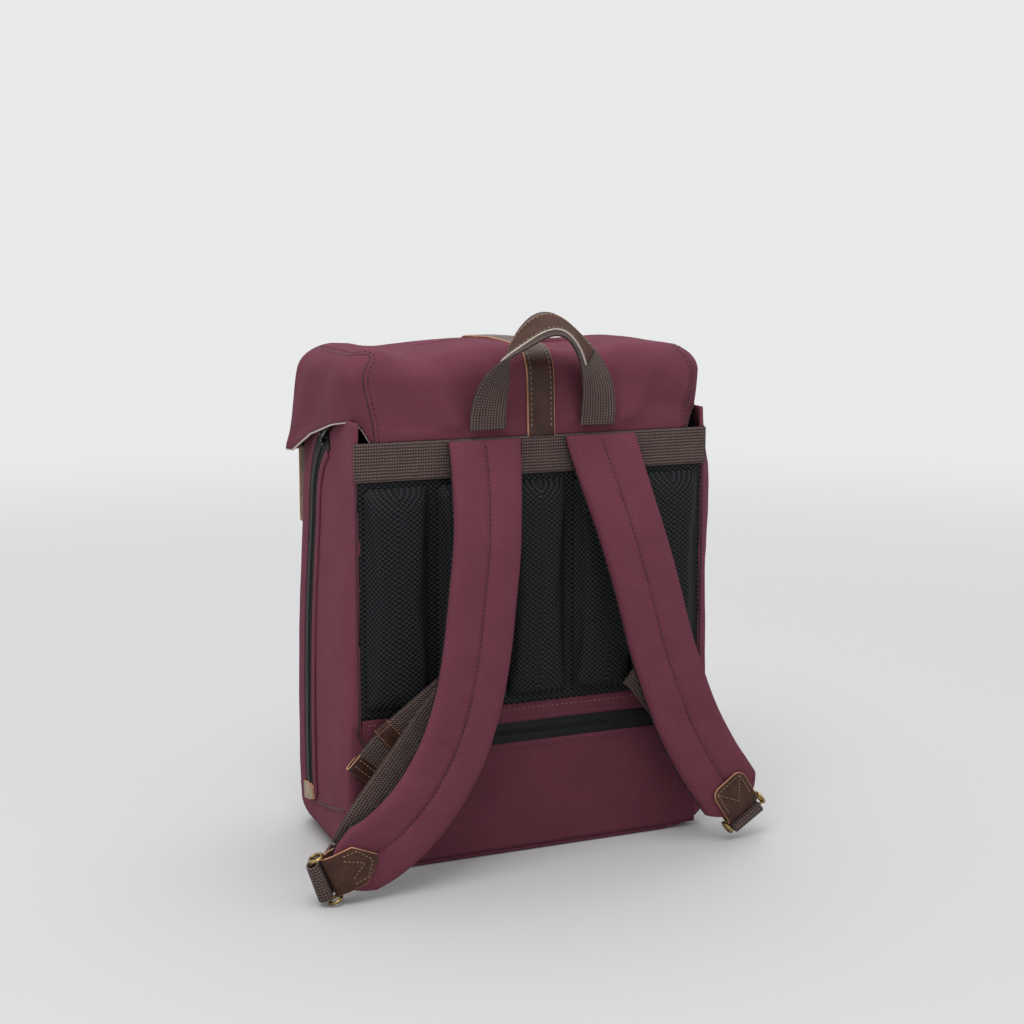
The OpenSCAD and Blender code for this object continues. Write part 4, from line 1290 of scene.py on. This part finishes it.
def make_keepers():
    for side in (-1, 1):
        word = WORD[side]
        p, x, y, z = leg_frame()
        height, width, r = 5.4, 33.0, 2.2
        corners = []
        for cy, cz, start in ((height / 2 - r, width / 2 - r, 0), (-height / 2 + r, width / 2 - r, 90),
                              (-height / 2 + r, -width / 2 + r, 180), (height / 2 - r, -width / 2 + r, 270)):
            for k in range(5):
                a = math.radians(start + 90 * k / 4)
                # Angle 0 points away from the panel's face, so y leads
                corners.append((cy + r * math.cos(a), cz + r * math.sin(a)))
        dense = resample(np.array([(a, b, 0) for a, b in corners + corners[:1]]), 2.2)[:, :2]
        path = np.array([p + y * (1.05 + a * 1.12) + z * b for a, b in dense])
        wide = np.tile(x, (len(path), 1))
        ribbon(f"keeper_loop_{word}", mirrored(path, side), wide * (side, 1, 1) * (-1 if side > 0 else 1),
               13, 1.5, LEATHER,
               f"keeper_{word}", [f"keeper_{word}"], edge=CUT_EDGE, round_r=0.4, segs=2)
        # Folded leather tip on the webbing's sewn end
        a, b = (np.array(placed([LEG_IN[k]])[0]) for k in (0, 1))
        d = unit(b - a)
        flat = unit(WEB_FLAT - d * np.dot(WEB_FLAT, d))
        n = np.cross(flat, d)
        if n[1] > 0:
            n = -n
        base = a - d * 3 + n * 1.0
        wrap = [base + d * s + n * h for s,
                h in ((13, 3.3), (6, 3.2), (1, 3.0), (-1.6, 1.9), (-2.2, 0.3), (-1.2, -1.2), (3, -2.0),
                      (10, -2.0))]
        path = spline(wrap, 5)
        ribbon(f"web_end_{word}", mirrored(path, side), np.tile(flat, (len(path), 1)) * (side, 1, 1), 31.5,
               1.5, LEATHER,
               "pack", [f"web_tip_{word}"], edge=CUT_EDGE, round_r=0.4, segs=2)
        for k, s in enumerate((3.6, 9.6)):
            row = [base + d * s + n * 4.3 + flat * f for f in np.linspace(-13.5, 13.5, 12)]
            stitches(f"web_end_stitch_{word}_{k + 1}", mirrored(row, side), THREAD_TAN, "pack",
                     up=n * (side, 1, 1), r=0.36, length=2.2, gap=1.2)


def make_anchors():
    for side in (-1, 1):
        word = WORD[side]
        outline = [(lean_half(122) - 3, 122), (lean_half(60) - 3, 60), (140, 80), (141, 92)]
        centre = np.mean(outline, axis=0)
        verts, rings = [], ((0.0, 1.0), (1.5, 1.03), (2.6, 1.0), (3.0, 0.86), (3.3, 0.5))
        dense = resample(np.array([(x, z, 0) for x, z in outline + outline[:1]]), 3)[:-1, :2]
        for lift, share in rings:
            for q in dense:
                x, z = centre + (q - centre) * share
                verts.append((side * x, BACK_Y - 0.2 - lift, z))
        n = len(dense)
        faces = grid_faces(len(rings), n, True)
        faces += [tuple((len(rings) - 1) * n + k for k in range(n)), tuple(range(n - 1, -1, -1))]
        if side < 0:
            faces = [f[::-1] for f in faces]
        piece(f"gusset_{word}", verts, faces, CANVAS_PAINTED_SHADE, "pack", [f"anchor_{word}"])
        edge = np.array([(side * x, BACK_Y - 3.2, z) for x,
                         z in ((lean_half(122) - 3, 120), (145, 104), (138, 91))])
        cord_line(f"gusset_seam_{word}", resample(edge, 3), 0.5, THREAD_DARK, "pack", 6)


make_side_zip()
make_lid()
make_lid_strap()
make_handle()
make_straps()
make_tabs()
make_webbing()
make_keepers()
make_anchors()


# ---------- front, interior and hardware ----------


def pocket_outline(half_w, half_h, r, n=10):
    pts = []
    for cx, cz, a0 in ((half_w - r, half_h - r, 0), (-half_w + r, half_h - r, 90),
                       (-half_w + r, -half_h + r, 180),
                       (half_w - r, -half_h + r, 270)):
        pts += [(cx + r * math.cos(math.radians(a0 + 90 * k / n)),
                 cz + r * math.sin(math.radians(a0 + 90 * k / n)))
                for k in range(n + 1)]
    return resample(np.array([(x, z, 0) for x, z in pts + pts[:1]]), 6)[:-1, :2]


def make_front_pocket():
    low, high = box("front_pocket")
    middle = (low + high) / 2
    half_w, half_h = (high[0] - low[0]) / 2, (high[2] - low[2]) / 2
    outline = pocket_outline(half_w, half_h, 18)
    zip_low, zip_high = box("front_zip_tape")
    zip_mid = (zip_low[2] + zip_high[2]) / 2
    profile = [(0.6, -0.4), (0.4, 5), (0.0, 11), (0.6, 15.5), (2.4, 18.6), (6, 19.8)]
    profile += [(half_h * (1 - s), 20.0) for s in np.linspace(0.88, 0.04, 18)]
    rows = []
    for inset, out in profile:
        ring = []
        for x, z in outline:
            scale_z = 1 - inset / half_h
            scale_x = 1 - inset / half_w if inset < 7 else (half_w - inset) / half_w
            px, pz = middle[0] + x * scale_x, middle[2] + z * scale_z
            inner = step(4, 30, inset)
            swell = inner * (2.6 * bell(pz, low[2] + 62, 46) * (1 - step(60, 112, abs(px - middle[0]))) - 0.5)
            p = (px, low[1] + out, pz)
            soft = 0.9 * ripple(p, 0.02, 6.6) + 0.35 * ripple(p, 0.06, 2.6)
            quiet = 1 - bell(pz, zip_mid, 13) * 0.9
            ring.append((px, low[1] + out + swell * quiet + soft * quiet * (0.3 + 0.7 * inner), pz))
        rows.append(ring)
    rows = np.array(rows)
    n = rows.shape[1]
    faces = grid_faces(len(rows), n, True) + [tuple((len(rows) - 1) * n + k for k in range(n))]
    thing = piece("pocket_pouch", rows.reshape(-1, 3), [f[::-1] for f in faces], CANVAS_PAINTED_LIGHT, "pack",
                  ["front_pocket"])
    solid(thing, 1.8)
    front = (0.0, 1.0, 0.0)
    line = np.array([(x, high[1] + 0.1, zip_mid) for x in np.linspace(zip_low[0], zip_high[0], 56)])
    ribbon("front_tape", line, np.tile(UP, (len(line), 1)), 14.5, 0.8, TAPE, "pack",
           ["front_zip_tape"])
    teeth("front_teeth", line, UP, front, 1.5, 0.66, 2.5, 0.9, "front_zip_coil")
    for word, off in (("over", 10.0), ("under", -10.0)):
        welt = line + (0, 0.3, off)
        ribbon(f"front_welt_{word}", welt, np.tile(UP, (len(line), 1)), 6.2, 1.9, CANVAS_PAINTED_LIGHT, "pack",
               round_r=0.9)
        stitches(f"front_stitch_{word}", welt + (0, 1.05, math.copysign(1.2, off)), THREAD_DARK, "pack",
                 up=front, r=0.33)
    rim = rows[4] * (0.992, 1, 1) + (0, 1.0, 0)
    stitches("pocket_rim_stitch", np.vstack([rim, rim[:1]]), THREAD_DARK, "pack", up=front,
             r=0.33, length=2.3, gap=2.0)


def make_inside():
    normal = surface_normals(BODY)
    top = int(np.sum(BODY[:, 0, 2] < SEAM_Z - 9))
    sheet = BODY[:top] - normal[:top] * 3.3
    for i in range(sheet.shape[0]):
        for j in range(sheet.shape[1]):
            sheet[i, j] -= normal[i, j] * (0.5 + 0.5 * ripple(sheet[i, j], 0.03, 8.8))
    flat = sheet.reshape(-1, 3)
    faces = [f for f in grid_faces(sheet.shape[0], sheet.shape[1], True)
             if flat[list(f)].mean(0)[1] > BACK_Y + 8 and flat[list(f)].mean(0)[2] > 8]
    solid(piece("lining_cloth", flat, [f[::-1] for f in faces], LINING, "pack", ["lining"]), 0.6)
    low, high = box("laptop_sleeve")
    rows = []
    for z in np.linspace(low[2], high[2], 44):
        ring = rounded_ring(high[0], low[1], high[1], 7, 7, (50, 5, 4))
        share = step(low[2], low[2] + 30, z)
        sag = 2.2 * step(high[2] - 90, high[2], z)
        pts = []
        for x, y in ring:
            soft = 0.8 * ripple((x, y, z), 0.03, 4.1) * share
            front = step((low[1] + high[1]) / 2, high[1], y)
            pts.append((x, y + front * (soft - sag * bell(x, 0, 70)),
                        z - front * 1.6 * bell(x, 0, 60) * (z > high[2] - 4)))
        rows.append(pts)
    rows = np.array(rows)
    n = rows.shape[1]
    faces = grid_faces(len(rows), n, True) + [tuple(range(n - 1, -1, -1))]
    solid(piece("sleeve_cloth", rows.reshape(-1, 3), faces, LINING, "pack", ["laptop_sleeve"]), 1.6)
    rim = np.vstack([rows[-1], rows[-1][:1]])
    cord_line("sleeve_binding", resample(rim, 4), 1.5, TAPE, "pack", 8)


def make_corner_tabs():
    for side in (-1, 1):
        low, high = box(f"corner_tab_{WORD[side]}")
        x, y = (low[0] + high[0]) / 2, (low[1] + high[1]) / 2
        path = [(x, y, z) for z in np.linspace(high[2], low[2], 24)]
        path = np.array([(px, py + 0.5 * bell(pz, low[2] + 14, 12), pz) for px, py, pz in path])
        ribbon(f"corner_strap_{WORD[side]}", path, np.tile((1.0, 0, 0), (len(path), 1)), high[0] - low[0],
               high[1] - low[1],
               SUEDE, "lid", [f"corner_tab_{WORD[side]}"], edge=CUT_EDGE, round_r=0.5,
               width=lambda u: min(1.0, 0.55 + (1 - u) * 12))


def make_hardware():
    for look, names in ((BLACK_METAL, ("pocket_slider", "pocket_pull", "side_slider", "side_pull",
                                       "front_slider", "front_pull")),
                        (BRASS, ("buckle_left", "buckle_right", "snap_stud", "snap_cap")),
                        (BOARD, ("frame_sheet",))):
        for name in names:
            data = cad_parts[name].data
            data.materials.clear()
            data.materials.append(look)


make_front_pocket()
make_inside()
make_corner_tabs()
make_hardware()




# ---------- floor ----------


def make_floor():
    size = 4.0
    data = bpy.data.meshes.new("floor")
    ring = [(size * math.cos(a), size * math.sin(a), 0) for a in np.linspace(0, 2 * math.pi, 64,
                                                                             endpoint=False)]
    data.from_pydata(ring, [], [tuple(range(64))])
    floor = bpy.data.objects.new("floor", data)
    bpy.context.scene.collection.objects.link(floor)
    look = Look("floor", 0.9, False, Specular_IOR_Level=0.2)
    grain = look.noise(700, 3, 0.6)
    data.materials.append(look.finish(look.mix(grain, (0.505, 0.507, 0.513), (0.57, 0.572, 0.578)), grain,
                                      0.0002, 0.3))
    distance = look.f("SQRT", look.f("ADD", look.f("MULTIPLY", look.u, look.u),
                                     look.f("MULTIPLY", look.v, look.v)))
    fade = look.tree.nodes.new("ShaderNodeBsdfTransparent")
    blend = look.tree.nodes.new("ShaderNodeMixShader")
    look.put(look.ramp(distance, 0.35, 2.6), blend.inputs[0])
    look.tree.links.new(look.shader.outputs[0], blend.inputs[1])
    look.tree.links.new(fade.outputs[0], blend.inputs[2])
    look.tree.links.new(blend.outputs[0], look.tree.nodes["Material Output"].inputs["Surface"])


make_floor()
